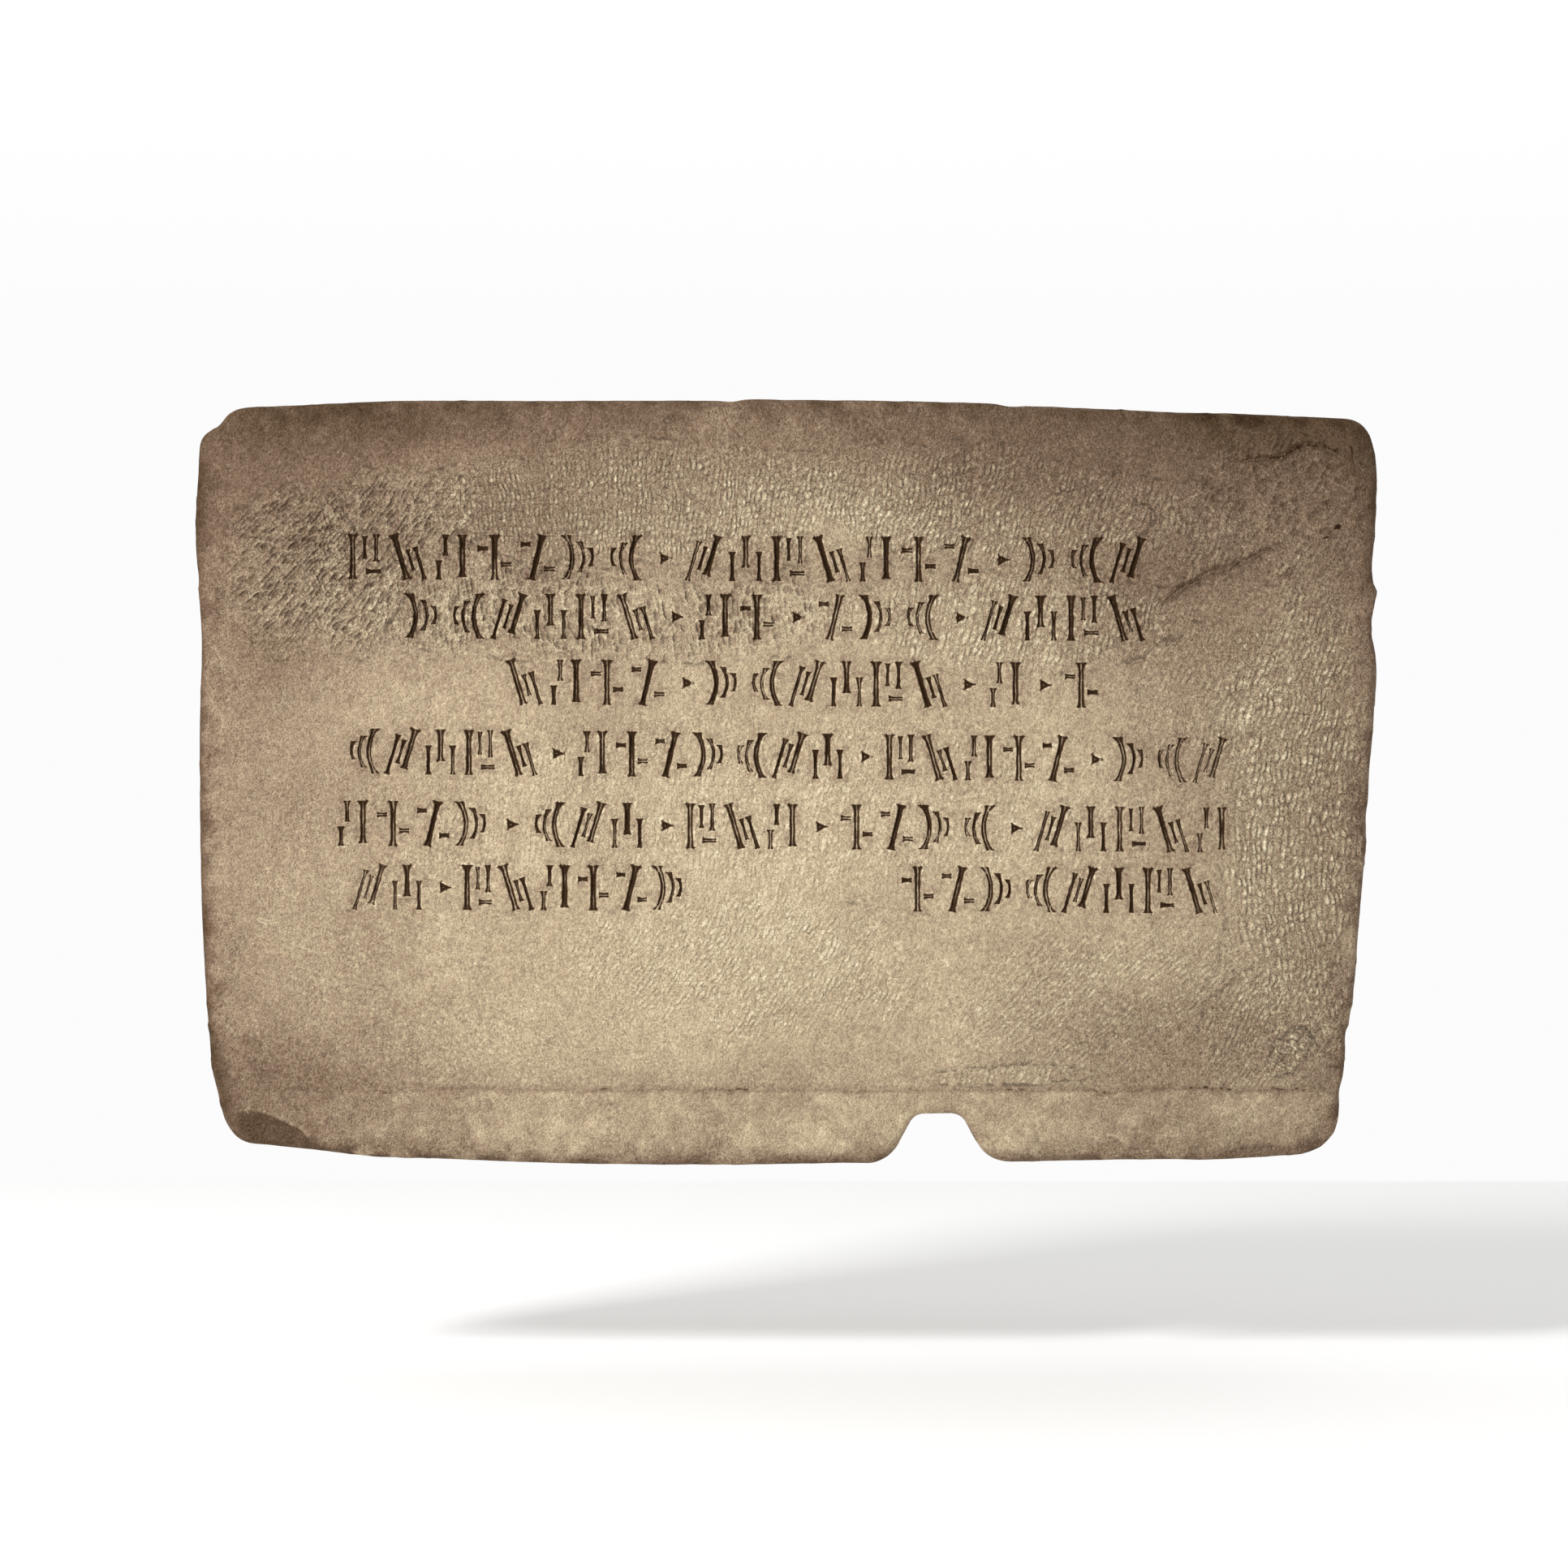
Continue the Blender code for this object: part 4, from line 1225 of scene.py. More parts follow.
@dataclass
class Ground:
    """The broad shape of the front: its swell, its margin, its folds and the flakes off it."""

    outline: SlabOutline
    edge_fall: float = 0.0011
    edge_reach: float = 0.014
    swell: float = 0.0006
    margin_line_z: float = -0.214
    margin_span: Pair = (-0.374, 0.383)
    margin_depth: float = 0.0007
    lip_drop: float = 0.001
    flakes: tuple[Flake, ...] = each(
        Flake,
        ((-0.3581, -0.2468), (0.0308, 0.0118), -23.6, 0.0056, 1.12),
        ((-0.296, -0.259), (0.007, 0.0042), 0, 0.0012, 0.34),
        ((-0.27, -0.261), (0.0085, 0.004), -6, 0.0014, 0.44),
        ((-0.224, -0.2625), (0.008, 0.0044), 4, 0.0012, 0.36),
        ((-0.19, -0.263), (0.007, 0.004), 0, 0.0012, 0.42),
        ((-0.118, -0.264), (0.012, 0.0046), 0, 0.0015, 0.4),
        ((-0.03, -0.264), (0.01, 0.0044), 0, 0.0014, 0.42),
        ((0.166, -0.244), (0.011, 0.0062), 25, 0.0014, 0.22),
        ((0.226, -0.256), (0.011, 0.0088), -10, 0.0024, 0.46),
        ((0.2482, -0.256), (0.0105, 0.0094), -14, 0.0026, 0.5),
        ((0.271, -0.2565), (0.0115, 0.0085), -8, 0.0024, 0.46),
        ((0.2938, -0.256), (0.0105, 0.0092), -12, 0.0026, 0.5),
        ((0.335, -0.261), (0.033, 0.007), 2, 0.0034, 0.72),
        ((0.389, -0.244), (0.0085, 0.018), -38, 0.0036, 0.62),
        ((0.412, 0.126), (0.0075, 0.015), 0, 0.003, 0.66),
        ((0.402, -0.145), (0.0075, 0.017), -8, 0.003, 0.66),
    )
    # painted shade: each fold's crease is painted dark as the shade of its step, with dirt
    folds: tuple[Fold, ...] = (
        Fold(((0.264, 0.125), (0.278, 0.136), (0.294, 0.1455), (0.313, 0.1512), (0.324, 0.1557),
              (0.33, 0.1597), (0.339, 0.1625)), 0.0022, 0.008),
        Fold(((0.32, 0.2246), (0.335, 0.2262), (0.3467, 0.2268), (0.3535, 0.2314), (0.3626, 0.236),
              (0.3746, 0.2337), (0.386, 0.2297)), 0.0024, 0.005, dirt=0.9),
        Fold(((0.35, 0.142), (0.352, 0.147), (0.3564, 0.1512)), 0.0006, 0.003),
    )

    def line_z(self, x: Array) -> Array:
        """The ragged line over the margin: a level line with three sizes of noise and one spall.

        Args:
            x: places along it.

        Returns:
            Its height at each.
        """
        places = np.column_stack([x, np.zeros_like(x), np.full_like(x, 0.3)])
        ragged = 0.0011 * NOISE.at(places, 0.045) + 0.001 * NOISE.at(places, 0.0095)
        spall = -0.0034 * bell(x, 0.224, 0.0085)
        return self.margin_line_z + ragged + 0.0009 * NOISE.at(places, 0.0042) + spall

    def margin_share(self, x: Array) -> Array:
        """How plainly the margin shows along its length, fading at both ends.

        Args:
            x: places along it.

        Returns:
            From 0 to 1 for each.
        """
        plain = 0.6 + 0.4 * rise(x, self.margin_span[0] + 0.15, 0.05)
        shown = rise(x, self.margin_span[0] + 0.01, 0.012) * (1 - rise(x, self.margin_span[1] - 0.012, 0.01))
        return plain * shown

    def depth(self, places: Array, inside: Array) -> Array:
        """Depth of the ground below the front plane.

        It is a swell and a smaller unevenness, each of two sizes of noise, plus a fall towards the
        edges, a e^(-d / reach), plus the step down to the margin, less the folds.  The smaller
        unevenness is stronger at the upper right and along the edges.

        Args:
            places: points (n, 2).
            inside: how far each lies inside the front's edge.

        Returns:
            The depth of each.
        """
        points = upright(places)
        swell = self.swell * (NOISE.at(points, 0.12) + 0.5 * NOISE.at(points, 0.045))
        natural = bell(places[:, 0], 0.335, 0.075) * bell(places[:, 1], 0.205, 0.05)
        natural = natural + 0.8 * np.exp(-np.maximum(inside, 0.0) / 0.01)
        small = 0.0004 * NOISE.at(points, 0.018) + 0.00032 * NOISE.at(points, 0.0085)
        small = small * (1 + 4.0 * natural)
        fall = self.edge_fall * np.exp(-np.maximum(inside, 0.0) / self.edge_reach)
        x, z = places.T
        step = 1 - rise(z, self.line_z(x) - 0.0006, 0.0007)
        proud = sum(fold.proud(places) for fold in self.folds)
        return 0.0004 + swell + small + fall + self.margin_depth * step * self.margin_share(x) - proud

    def chipped(self, points: Array) -> tuple[Array, Array, Array]:
        """Push points back to the floors of the hollows where flakes are off.

        Args:
            points: (n, 3), in place.

        Returns:
            The points after the flakes are off, the share of each that lies in a hollow, from 0 to 1,
            and how dark that hollow is.
        """
        moved, shares, patina = points.copy(), np.zeros(len(points)), np.zeros(len(points))
        uneven = 0.0004 * NOISE.layered(upright(points[:, [0, 2]]), 0.007, 2)
        ahead = 1 - ease((points[:, 1] - FRONT_Y - 0.006) / 0.008)
        for flake in self.flakes:
            deep = flake.deep(points[:, [0, 2]])
            moved[:, 1] = np.maximum(moved[:, 1], np.where(deep > 0, FRONT_Y + deep - uneven, FRONT_Y - 1))
            share = ease(deep / (0.16 * flake.depth)) * ahead
            patina = np.where(share > shares, flake.patina, patina)
            shares = np.maximum(shares, share)
        return moved, shares, patina

    def margin_lip(self, rng: Random) -> Points:
        """The ragged lip over the margin: an upper edge, a torn foot and the start of the margin.

        Args:
            rng: random numbers for its unevenness.

        Returns:
            Three lines of points along it, joined lengthwise.
        """
        x = np.arange(self.margin_span[0], self.margin_span[1], 0.0019)
        share = self.margin_share(x)
        line = self.line_z(x)
        places = np.concatenate([
            np.column_stack([x, line + shift * (0.8 + 0.4 * rng.uniform(size=len(x)))])
            for shift in (0.0006, -0.0007, -0.002)
        ])
        patchy = np.clip(0.6 + 0.8 * NOISE.at(upright(places[:len(x)]), 0.016), 0.08, 1.0)
        torn = rng.uniform(0.3, 1.0, len(x)) * share * patchy
        cut = np.concatenate([-0.0001 * share, self.lip_drop * torn, 0.0002 * torn])
        dirt = np.concatenate([0.12 * share, 0.5 * torn, 0.22 * share])
        tone = np.concatenate([-0.3 * share, -1.0 * torn, -0.8 * share])
        index = np.arange(3 * len(x)).reshape(3, -1)
        edges = np.concatenate([chain(row) for row in index[:2]])
        return Points(places, cut, dirt, tone, edges)


@dataclass(frozen=True)
class Stain:
    """A soft darker cloud, paler if its strength is negative: centre, half sizes, turn, strength."""

    centre: Pair
    reach: Pair
    turn: float
    strength: float

    def at(self, places: Array) -> Array:
        """The cloud's strength, s e^-(u^2 + v^2), in shares of its half sizes."""
        offset = turned(places - self.centre, -self.turn) / self.reach
        return self.strength * np.exp(-(offset ** 2).sum(axis=1))


class Side(Enum):
    """The slab's four sides."""

    TOP = "top"
    LOW = "low"
    LEFT = "left"
    RIGHT = "right"


@dataclass(frozen=True)
class EdgeBand:
    """A dark band along a side, partly weathering and partly painted shade of the rounded edge.

    Attributes:
        side: which side it follows.
        strength: how dark it is at most.
        reach: how far in it fades.
        crest: how far in its crest lies if it is a hump; without one it falls from the edge.
        wanders: whether its reach is multiplied by the uneven factor.
    """

    side: Side
    strength: float
    reach: float
    crest: float | None = None
    wanders: bool = False

    def at(self, gap: Array, uneven: Array) -> Array:
        """Its darkness at distances d from the side: s e^-(d / r), or s e^-((d - crest) / r)^2."""
        reach = self.reach * uneven if self.wanders else self.reach
        return self.strength * (np.exp(-gap / reach) if self.crest is None else bell(gap, self.crest, reach))


@dataclass
class WeatheringAndPaintedLight:
    """How dark the stone's skin is, from weathering and from painted light and shade: 0 is pale cream and 1
    is dark umber.
    """

    outline: SlabOutline
    fresh: float = 0.045
    # painted light: the skin is painted paler about this middle and darker away from it, as a pool of light
    middle: Pair = (0.018, -0.066)
    light_pool_falloff: float = 1.75
    mottling: float = 0.42
    mottling_reach: float = 0.013
    flecks: float = 0.22
    margin_top_z: float = -0.216
    # painted shade: these bands darken the rounded edges as shade would, besides weathering them
    bands: tuple[EdgeBand, ...] = (
        EdgeBand(Side.TOP, 0.44, 0.024, wanders=True),
        EdgeBand(Side.TOP, 0.25, 0.09, crest=0.0),
        EdgeBand(Side.RIGHT, 0.13, 0.1, crest=0.0),
        EdgeBand(Side.RIGHT, 0.24, 0.013),
        EdgeBand(Side.LEFT, 1.05, 0.0038),
        EdgeBand(Side.LEFT, 0.08, 0.016),
        EdgeBand(Side.LOW, 0.17, 0.02, wanders=True),
        EdgeBand(Side.TOP, 0.18, 0.005),
        EdgeBand(Side.LOW, 0.07, 0.02, crest=0.055),
        EdgeBand(Side.LOW, 0.52, 0.0065, crest=0.0, wanders=True),
    )
    stains: tuple[Stain, ...] = each(
        Stain,
        ((0.32, 0.185), (0.085, 0.06), 0, 0.22), ((0.276, 0.148), (0.05, 0.026), 30, 0.2),
        ((-0.33, 0.098), (0.042, 0.032), 0, 0.1), ((-0.401, -0.208), (0.009, 0.042), 20, 0.5),
        ((-0.364, -0.256), (0.024, 0.007), -18, 0.3), ((-0.29, -0.231), (0.085, 0.035), 0, 0.12),
        ((-0.27, -0.26), (0.09, 0.008), -3, 0.16), ((0.3365, -0.2343), (0.055, 0.028), 0, -0.27),
        ((-0.25, 0.247), (0.034, 0.018), 0, 0.25), ((0.335, 0.25), (0.065, 0.02), 0, 0.22),
        ((0.33, 0.257), (0.09, 0.007), 0, 0.22), ((0.217, 0.116), (0.09, 0.042), 0, 0.13),
        ((-0.08, 0.085), (0.22, 0.04), 0, 0.08), ((-0.08, 0.025), (0.24, 0.03), 0, 0.05),
        ((-0.325, 0.165), (0.065, 0.045), 0, 0.09), ((0.29, 0.09), (0.05, 0.04), 35, 0.13),
        ((-0.305, 0.156), (0.078, 0.052), 0, 0.08), ((-0.17, 0.185), (0.09, 0.03), 0, 0.22),
        ((-0.33, 0.25), (0.12, 0.028), 0, 0.14), ((-0.37, 0.09), (0.05, 0.045), 0, 0.12),
        ((0.165, 0.208), (0.09, 0.034), 0, 0.25), ((0.07, 0.148), (0.22, 0.02), 0, 0.12),
        ((-0.08, 0.11), (0.05, 0.02), 0, 0.1), ((0.26, -0.178), (0.1, 0.028), 0, 0.21),
        ((-0.36, -0.203), (0.07, 0.03), 0, 0.13), ((-0.1, 0.145), (0.13, 0.014), 0, 0.12),
        ((0.275, 0.005), (0.05, 0.08), 0, 0.08), ((0.02, -0.13), (0.3, 0.07), 0, 0.04),
        ((0.05, -0.235), (0.32, 0.026), 0, 0.06),
    )

    def patina(self, places: Array) -> Array:
        """The edge bands, partly painted shade, mottling near the edges, pale flecks in the margin, a
        painted pool of light, darker away from the middle, soft clouds and the stains, all added up.

        Args:
            places: points (n, 2).

        Returns:
            The patina of each.
        """
        x, z = places.T
        points = upright(places)
        gaps = {
            Side.TOP: np.maximum(self.outline.top_side(x)[:, 1] - z, 0.0),
            Side.LOW: np.maximum(z - self.outline.low_side(x)[:, 1], 0.0),
            Side.LEFT: np.maximum(x - self.outline.left_side(z)[:, 0], 0.0),
            Side.RIGHT: np.maximum(self.outline.right_side(z)[:, 0] - x, 0.0),
        }
        uneven = 1 + 0.45 * NOISE.layered(points, 0.055, 3)
        # painted shade along the edges, with weathering
        dark = sum(band.at(gaps[band.side], uneven) for band in self.bands)
        nearest = np.minimum.reduce(list(gaps.values()))
        dark += self.mottling * np.exp(-nearest / self.mottling_reach) * NOISE.layered(points, 0.011, 3)
        scaly = np.clip(NOISE.layered(points, 0.0135, 3), 0.0, 0.6)
        in_margin = (1 - rise(z, self.margin_top_z, 0.001)) * rise(gaps[Side.LOW], 0.005, 0.003)
        dark -= self.flecks * scaly * in_margin
        # painted light: a pool of light painted into the skin, darker with the square of the distance from
        # the middle
        away = self.light_pool_falloff * ((x - self.middle[0]) ** 2 + (z - self.middle[1]) ** 2)
        cloud = 0.06 * NOISE.layered(points, 0.06, 3) + 0.03 * NOISE.at(points, 0.007)
        return self.fresh + dark + away + cloud + sum(stain.at(places) for stain in self.stains)


@dataclass
class SlabStone:
    """The slab itself: rings round its outline, closed by a carved front and a plain back."""

    outline: SlabOutline
    ground: Ground
    carving: CarvedRows
    dressing: ChiselDressing
    weathering_and_painted_light: WeatheringAndPaintedLight
    front_arris: float = 0.0085
    back_arris: float = 0.0025
    arris_steps: int = 4
    side_steps: int = 10
    ground_spacing: float = 0.0029
    back_spacing: float = 0.012
    chequer_cell: float = 0.0004
    seed: int = 7

    def rings(self) -> tuple[Array, Array]:
        """The rings from the back edge to the front edge.

        At an angle a round the front arris of radius r, a ring stands r (1 - cos a) inside the
        outline and r (1 - sin a) behind the front.  The radius wanders with noise and is widest
        at the lower left corner, and the nicks of the outline die out across it.

        Returns:
            Points (rings, n, 3) and how squarely each faces the front, from 0 to 1.
        """
        loop, calm, outward = self.outline.loop, self.outline.calm, self.outline.outward
        flat = np.column_stack([loop[:, 0], np.zeros(len(loop)), loop[:, 1]])
        radius = self.front_arris * (1 + 0.22 * NOISE.at(flat, 0.06) + 0.14 * NOISE.at(flat, 0.018))
        corner = bell(loop[:, 0], -0.395, 0.03) * bell(loop[:, 1], -0.215, 0.045)
        radius = radius * (1 + 0.45 * corner)
        angles = np.linspace(0.0, math.pi / 2, self.arris_steps + 1)[1:]
        levels = [(np.full(len(loop), self.back_arris), np.full(len(loop), BACK_Y), 0.0)]
        start = BACK_Y - self.back_arris
        for share in np.linspace(0.0, 1.0, self.side_steps + 1):
            levels.append((np.zeros(len(loop)), start + (FRONT_Y + radius - start) * share, 0.0))
        for angle in angles:
            levels.append((radius * (1 - math.cos(angle)), FRONT_Y + radius * (1 - math.sin(angle)),
                           math.sin(angle)))
        rings, facing = [], []
        for inset, y, turn in levels:
            calmed = loop + (calm - loop) * turn
            ring = calmed - outward * inset[:, None]
            rings.append(np.column_stack([ring[:, 0], y, ring[:, 1]]))
            facing.append(np.full(len(loop), turn))
        return np.array(rings), np.array(facing)

    def roughened(self, rings: Array, facing: Array) -> Array:
        """Press the sides in by noise of three sizes, and the edges as the front's ground is.

        Args:
            rings: points (rings, n, 3).
            facing: how squarely each faces the front.

        Returns:
            The points after wear.
        """
        flat = rings.reshape(-1, 3)
        turn = facing.ravel()[:, None]
        outward = np.tile(self.outline.outward, (len(rings), 1))
        side = np.column_stack([outward[:, 0], np.zeros(len(flat)), outward[:, 1]])
        front = np.array([0.0, -1.0, 0.0])
        normal = side * np.sqrt(1 - turn ** 2) + front * turn
        picked = 0.45 + 0.5 * NOISE.at(flat, 0.011) + 0.35 * NOISE.at(flat, 0.0048)
        picked += 0.5 * NOISE.at(flat, 0.035)
        behind = ease((flat[:, 1] - FRONT_Y - 0.004) / 0.022)
        pressed = 0.0009 * np.maximum(picked, -0.3) * behind + 0.0003 * (1 - behind) * (1 + picked)
        pressed = pressed * (1 - turn[:, 0]) * (flat[:, 1] < BACK_Y - 1e-6)
        ground = self.ground.depth(flat[:, [0, 2]], np.zeros(len(flat))) * turn[:, 0] ** 2
        arris = 0.0008 * NOISE.layered(flat, 0.009, 3) * np.sin(math.pi * turn[:, 0] ** 0.7)
        return flat - normal * (pressed + ground + arris)[:, None]

    def scatter(self, spacing: float, ring: Array, margin: float, rng: Random) -> Array:
        """Points on a triangular lattice, each moved at random, that lie inside a ring.

        Args:
            spacing: the lattice's pitch.
            ring: the ring's points.
            margin: how far inside the ring they stay.
            rng: random numbers.

        Returns:
            Points (n, 2).
        """
        low, high = ring.min(axis=0), ring.max(axis=0)
        x, z = np.meshgrid(np.arange(low[0], high[0], spacing),
                           np.arange(low[1], high[1], spacing * math.sqrt(0.75)))
        x = x + spacing / 2 * (np.arange(len(x)) % 2)[:, None]
        places = np.stack([x, z], axis=-1).reshape(-1, 2)
        places = places + spacing * 0.3 * rng.uniform(-1, 1, places.shape)
        return places[self.outline.depth_inside(places, ring) > margin]

    def front_points(self, ring: Array, rng: Random) -> Points:
        """All points inside the front's edge: strokes, cracks, ticks, then the plain ground.

        Args:
            ring: the front's edge, (n, 2).
            rng: random numbers.

        Returns:
            The points, without those of the edge.
        """
        strokes, divides = self.carving.layout()
        pairs = [stroke.points(rng) for stroke in strokes]
        cores = Points.joined([core for core, _ in pairs])
        burrs = Points.joined([burr for _, burr in pairs])
        burrs = burrs.kept(~covered(strokes, burrs.places, 0.0003))
        pits = Points.joined([self.carving.dividing_point(place, rng) for place in divides])
        taken = Taken(self.chequer_cell)
        apart = Taken(self.chequer_cell)
        apart.mark(cores.places, 0.0002)
        apart.mark(pits.places, 0.0006)
        burrs = burrs.kept(apart.free(burrs.places))
        parts = [cores, burrs, pits]
        for part in parts:
            taken.mark(part.places, 0.0012)
        lip = self.ground.margin_lip(rng)
        lip = lip.kept(self.outline.depth_inside(lip.places, ring) > 0.002)
        creases = tuple(fold.crease() for fold in self.ground.folds)
        rims = tuple(flake.rim() for flake in self.ground.flakes)
        cracks = [crack.points(rng) for crack in CRACKS + creases + rims]
        for part in (lip, *cracks):
            part_clear = taken.free(part.places) & (self.outline.depth_inside(part.places, ring) > 0.0009)
            part = part.kept(part_clear)
            taken.mark(part.places, 0.0011)
            parts.append(part)
        parts += self.dressing.points(strokes, taken, self.outline, ring, rng)
        plain = self.scatter(self.ground_spacing, ring, 0.0012, rng)
        plain = plain[taken.free(plain) & ~covered(strokes, plain, 0.0006)]
        speck = rng.uniform(-1, 1, len(plain))
        # darker near the strokes, a soft dark band round each cut
        near_stroke_dark = 0.75 * covered(strokes, plain, 0.0032) * rng.uniform(0.0, 1.0, len(plain))
        tone = -0.22 * np.abs(speck) ** 3 - near_stroke_dark
        parts.append(Points(plain, 0.00007 * speck, np.zeros(len(plain)), tone))
        LOG.info("front: %d stroke points, %d burr, %d tick and crack, %d plain", len(cores.places),
                 len(burrs.places), sum(len(part.places) for part in parts[3:-1]), len(plain))
        return Points.joined(parts)

    @staticmethod
    def net(places: Array, ring_size: int, edges: Array) -> Array:
        """The Delaunay net of points inside the ring that the first of them make.

        The ring runs clockwise, so a triangle of three ring points, taken in their order, lies
        inside the ring when it turns clockwise too.

        Args:
            places: points (n, 2), the ring's first.
            ring_size: how many are the ring's.
            edges: pairs of points that the net has to join.

        Returns:
            Triangles (m, 3), anticlockwise.
        """
        made = delaunay_2d_cdt(places.tolist(), edges.tolist(), [list(range(ring_size))], 1, 1e-7, False)
        if len(made[0]) != len(places):
            raise ValueError(f"{len(made[0]) - len(places)} carved lines cross each other")
        net = np.array(made[2])
        ordered = np.sort(net, axis=1)
        a, b, c = (places[ordered[:, k]] for k in range(3))
        turn = (b - a)[:, 0] * (c - a)[:, 1] - (b - a)[:, 1] * (c - a)[:, 0]
        return net[(ordered[:, 2] >= ring_size) | (turn < 0)]

    def build(self) -> bpy.types.Object:
        """The whole slab as one closed mesh, with what its finish reads as attributes.

        Returns:
            The slab's object.
        """
        rng = np.random.default_rng(self.seed)
        rings, facing = self.rings()
        count, around = rings.shape[:2]
        shell = self.roughened(rings, facing)
        front_ring = shell[-around:, [0, 2]]
        back_ring = shell[:around, [0, 2]]

        carved = self.front_points(front_ring, rng)
        inside = self.outline.depth_inside(carved.places, front_ring)
        y = FRONT_Y + self.ground.depth(carved.places, inside) + carved.cut
        front = np.column_stack([carved.places[:, 0], y, carved.places[:, 1]])
        plain = self.scatter(self.back_spacing, back_ring, 0.006, rng)
        sawn = 0.0007 * np.maximum(0, 0.3 + NOISE.layered(upright(plain), 0.05, 2))
        back = np.column_stack([plain[:, 0], BACK_Y - sawn, plain[:, 1]])

        points = np.concatenate([shell, front, back])
        points, flaked, hollow_patina = self.ground.chipped(points)
        ring_index = np.arange(count * around).reshape(count, around)
        quads = np.stack([ring_index[:-1], ring_index[1:], np.roll(ring_index[1:], -1, axis=1),
                          np.roll(ring_index[:-1], -1, axis=1)], axis=-1).reshape(-1, 4)
        first = len(shell)
        edges = carved.edges + around
        front_map = np.concatenate([ring_index[-1], first + np.arange(len(front))])
        front_net = front_map[self.net(np.concatenate([front_ring, carved.places]), around, edges)]
        back_map = np.concatenate([ring_index[0], first + len(front) + np.arange(len(back))])
        none = np.zeros((0, 2), int)
        back_net = back_map[self.net(np.concatenate([back_ring, plain]), around, none)][:, ::-1]

        mesh = bpy.data.meshes.new("slab_stone")
        faces = quads.tolist() + front_net.tolist() + back_net.tolist()
        mesh.from_pydata(points.tolist(), [], faces)
        mesh.validate()
        mesh.shade_smooth()
        mesh.set_sharp_from_angle(angle=math.radians(50))
        self.dress(mesh, points, flaked, hollow_patina, carved, first)
        slab = bpy.data.objects.new("slab_stone", mesh)
        bpy.context.scene.collection.objects.link(slab)
        triangles = 2 * len(quads) + len(front_net) + len(back_net)
        LOG.info("slab_stone: %d points, %d triangles", len(points), triangles)
        return slab

    def dress(self, mesh: bpy.types.Mesh, points: Array, flaked: Array, hollow_patina: Array,
              carved: Points, first: int) -> None:
        """Give every point its dirt and painted shade, its tone and patina with painted light and shade, and
        its place under the chisel.

        Args:
            mesh: the slab's mesh.
            points: its points, after chipping.
            flaked: the share of each that lies in a flake's hollow.
            hollow_patina: how dark that hollow is.
            carved: the front's points, which start at `first`.
            first: how many points the rings have.
        """
        last = first + len(carved.places)
        dirt, tone = np.zeros(len(points)), np.zeros(len(points))
        dirt[first:last], tone[first:last] = carved.dirt, carved.tone
        patina = self.weathering_and_painted_light.patina(points[:, [0, 2]])
        depth = points[:, 1] - FRONT_Y
        side = 0.62 + 0.16 * NOISE.layered(points, 0.03, 3)
        patina = patina + (side - patina) * ease(depth / 0.016)
        back = 0.4 + 0.1 * NOISE.layered(points, 0.06, 2)
        patina = patina + (back - patina) * ease((depth - 0.03) / 0.038)
        patina = patina + (hollow_patina + 0.1 * NOISE.at(points, 0.006) - patina) * flaked
        forward = (1 - flaked) * (1 - ease(depth / 0.007))
        combed, dressed_tone = self.dressing.layers(points[:, [0, 2]])
        tone = (tone + 0.25 * dressed_tone) * forward
        # painted light and shade ride in these layers: shade in the cuts, shade and highlights in the tone,
        # a pool of light and edge shade in the patina
        for name, values in (("cut_dirt_and_shade", dirt), ("tone_and_painted_light", tone), ("patina", patina)):
            layer = mesh.attributes.new(name, "FLOAT", "POINT")
            layer.data.foreach_set("value", values.astype(np.float32))
        for name, values in combed.items():
            values[:, 2] *= forward
            layer = mesh.attributes.new(name, "FLOAT_VECTOR", "POINT")
            layer.data.foreach_set("vector", values.astype(np.float32).ravel())


@dataclass(frozen=True)
class NoiseLayer:
    """One size of speckle: how many lumps a metre, how finely broken up, and its strength."""

    scale: float
    detail: float
    strength: float


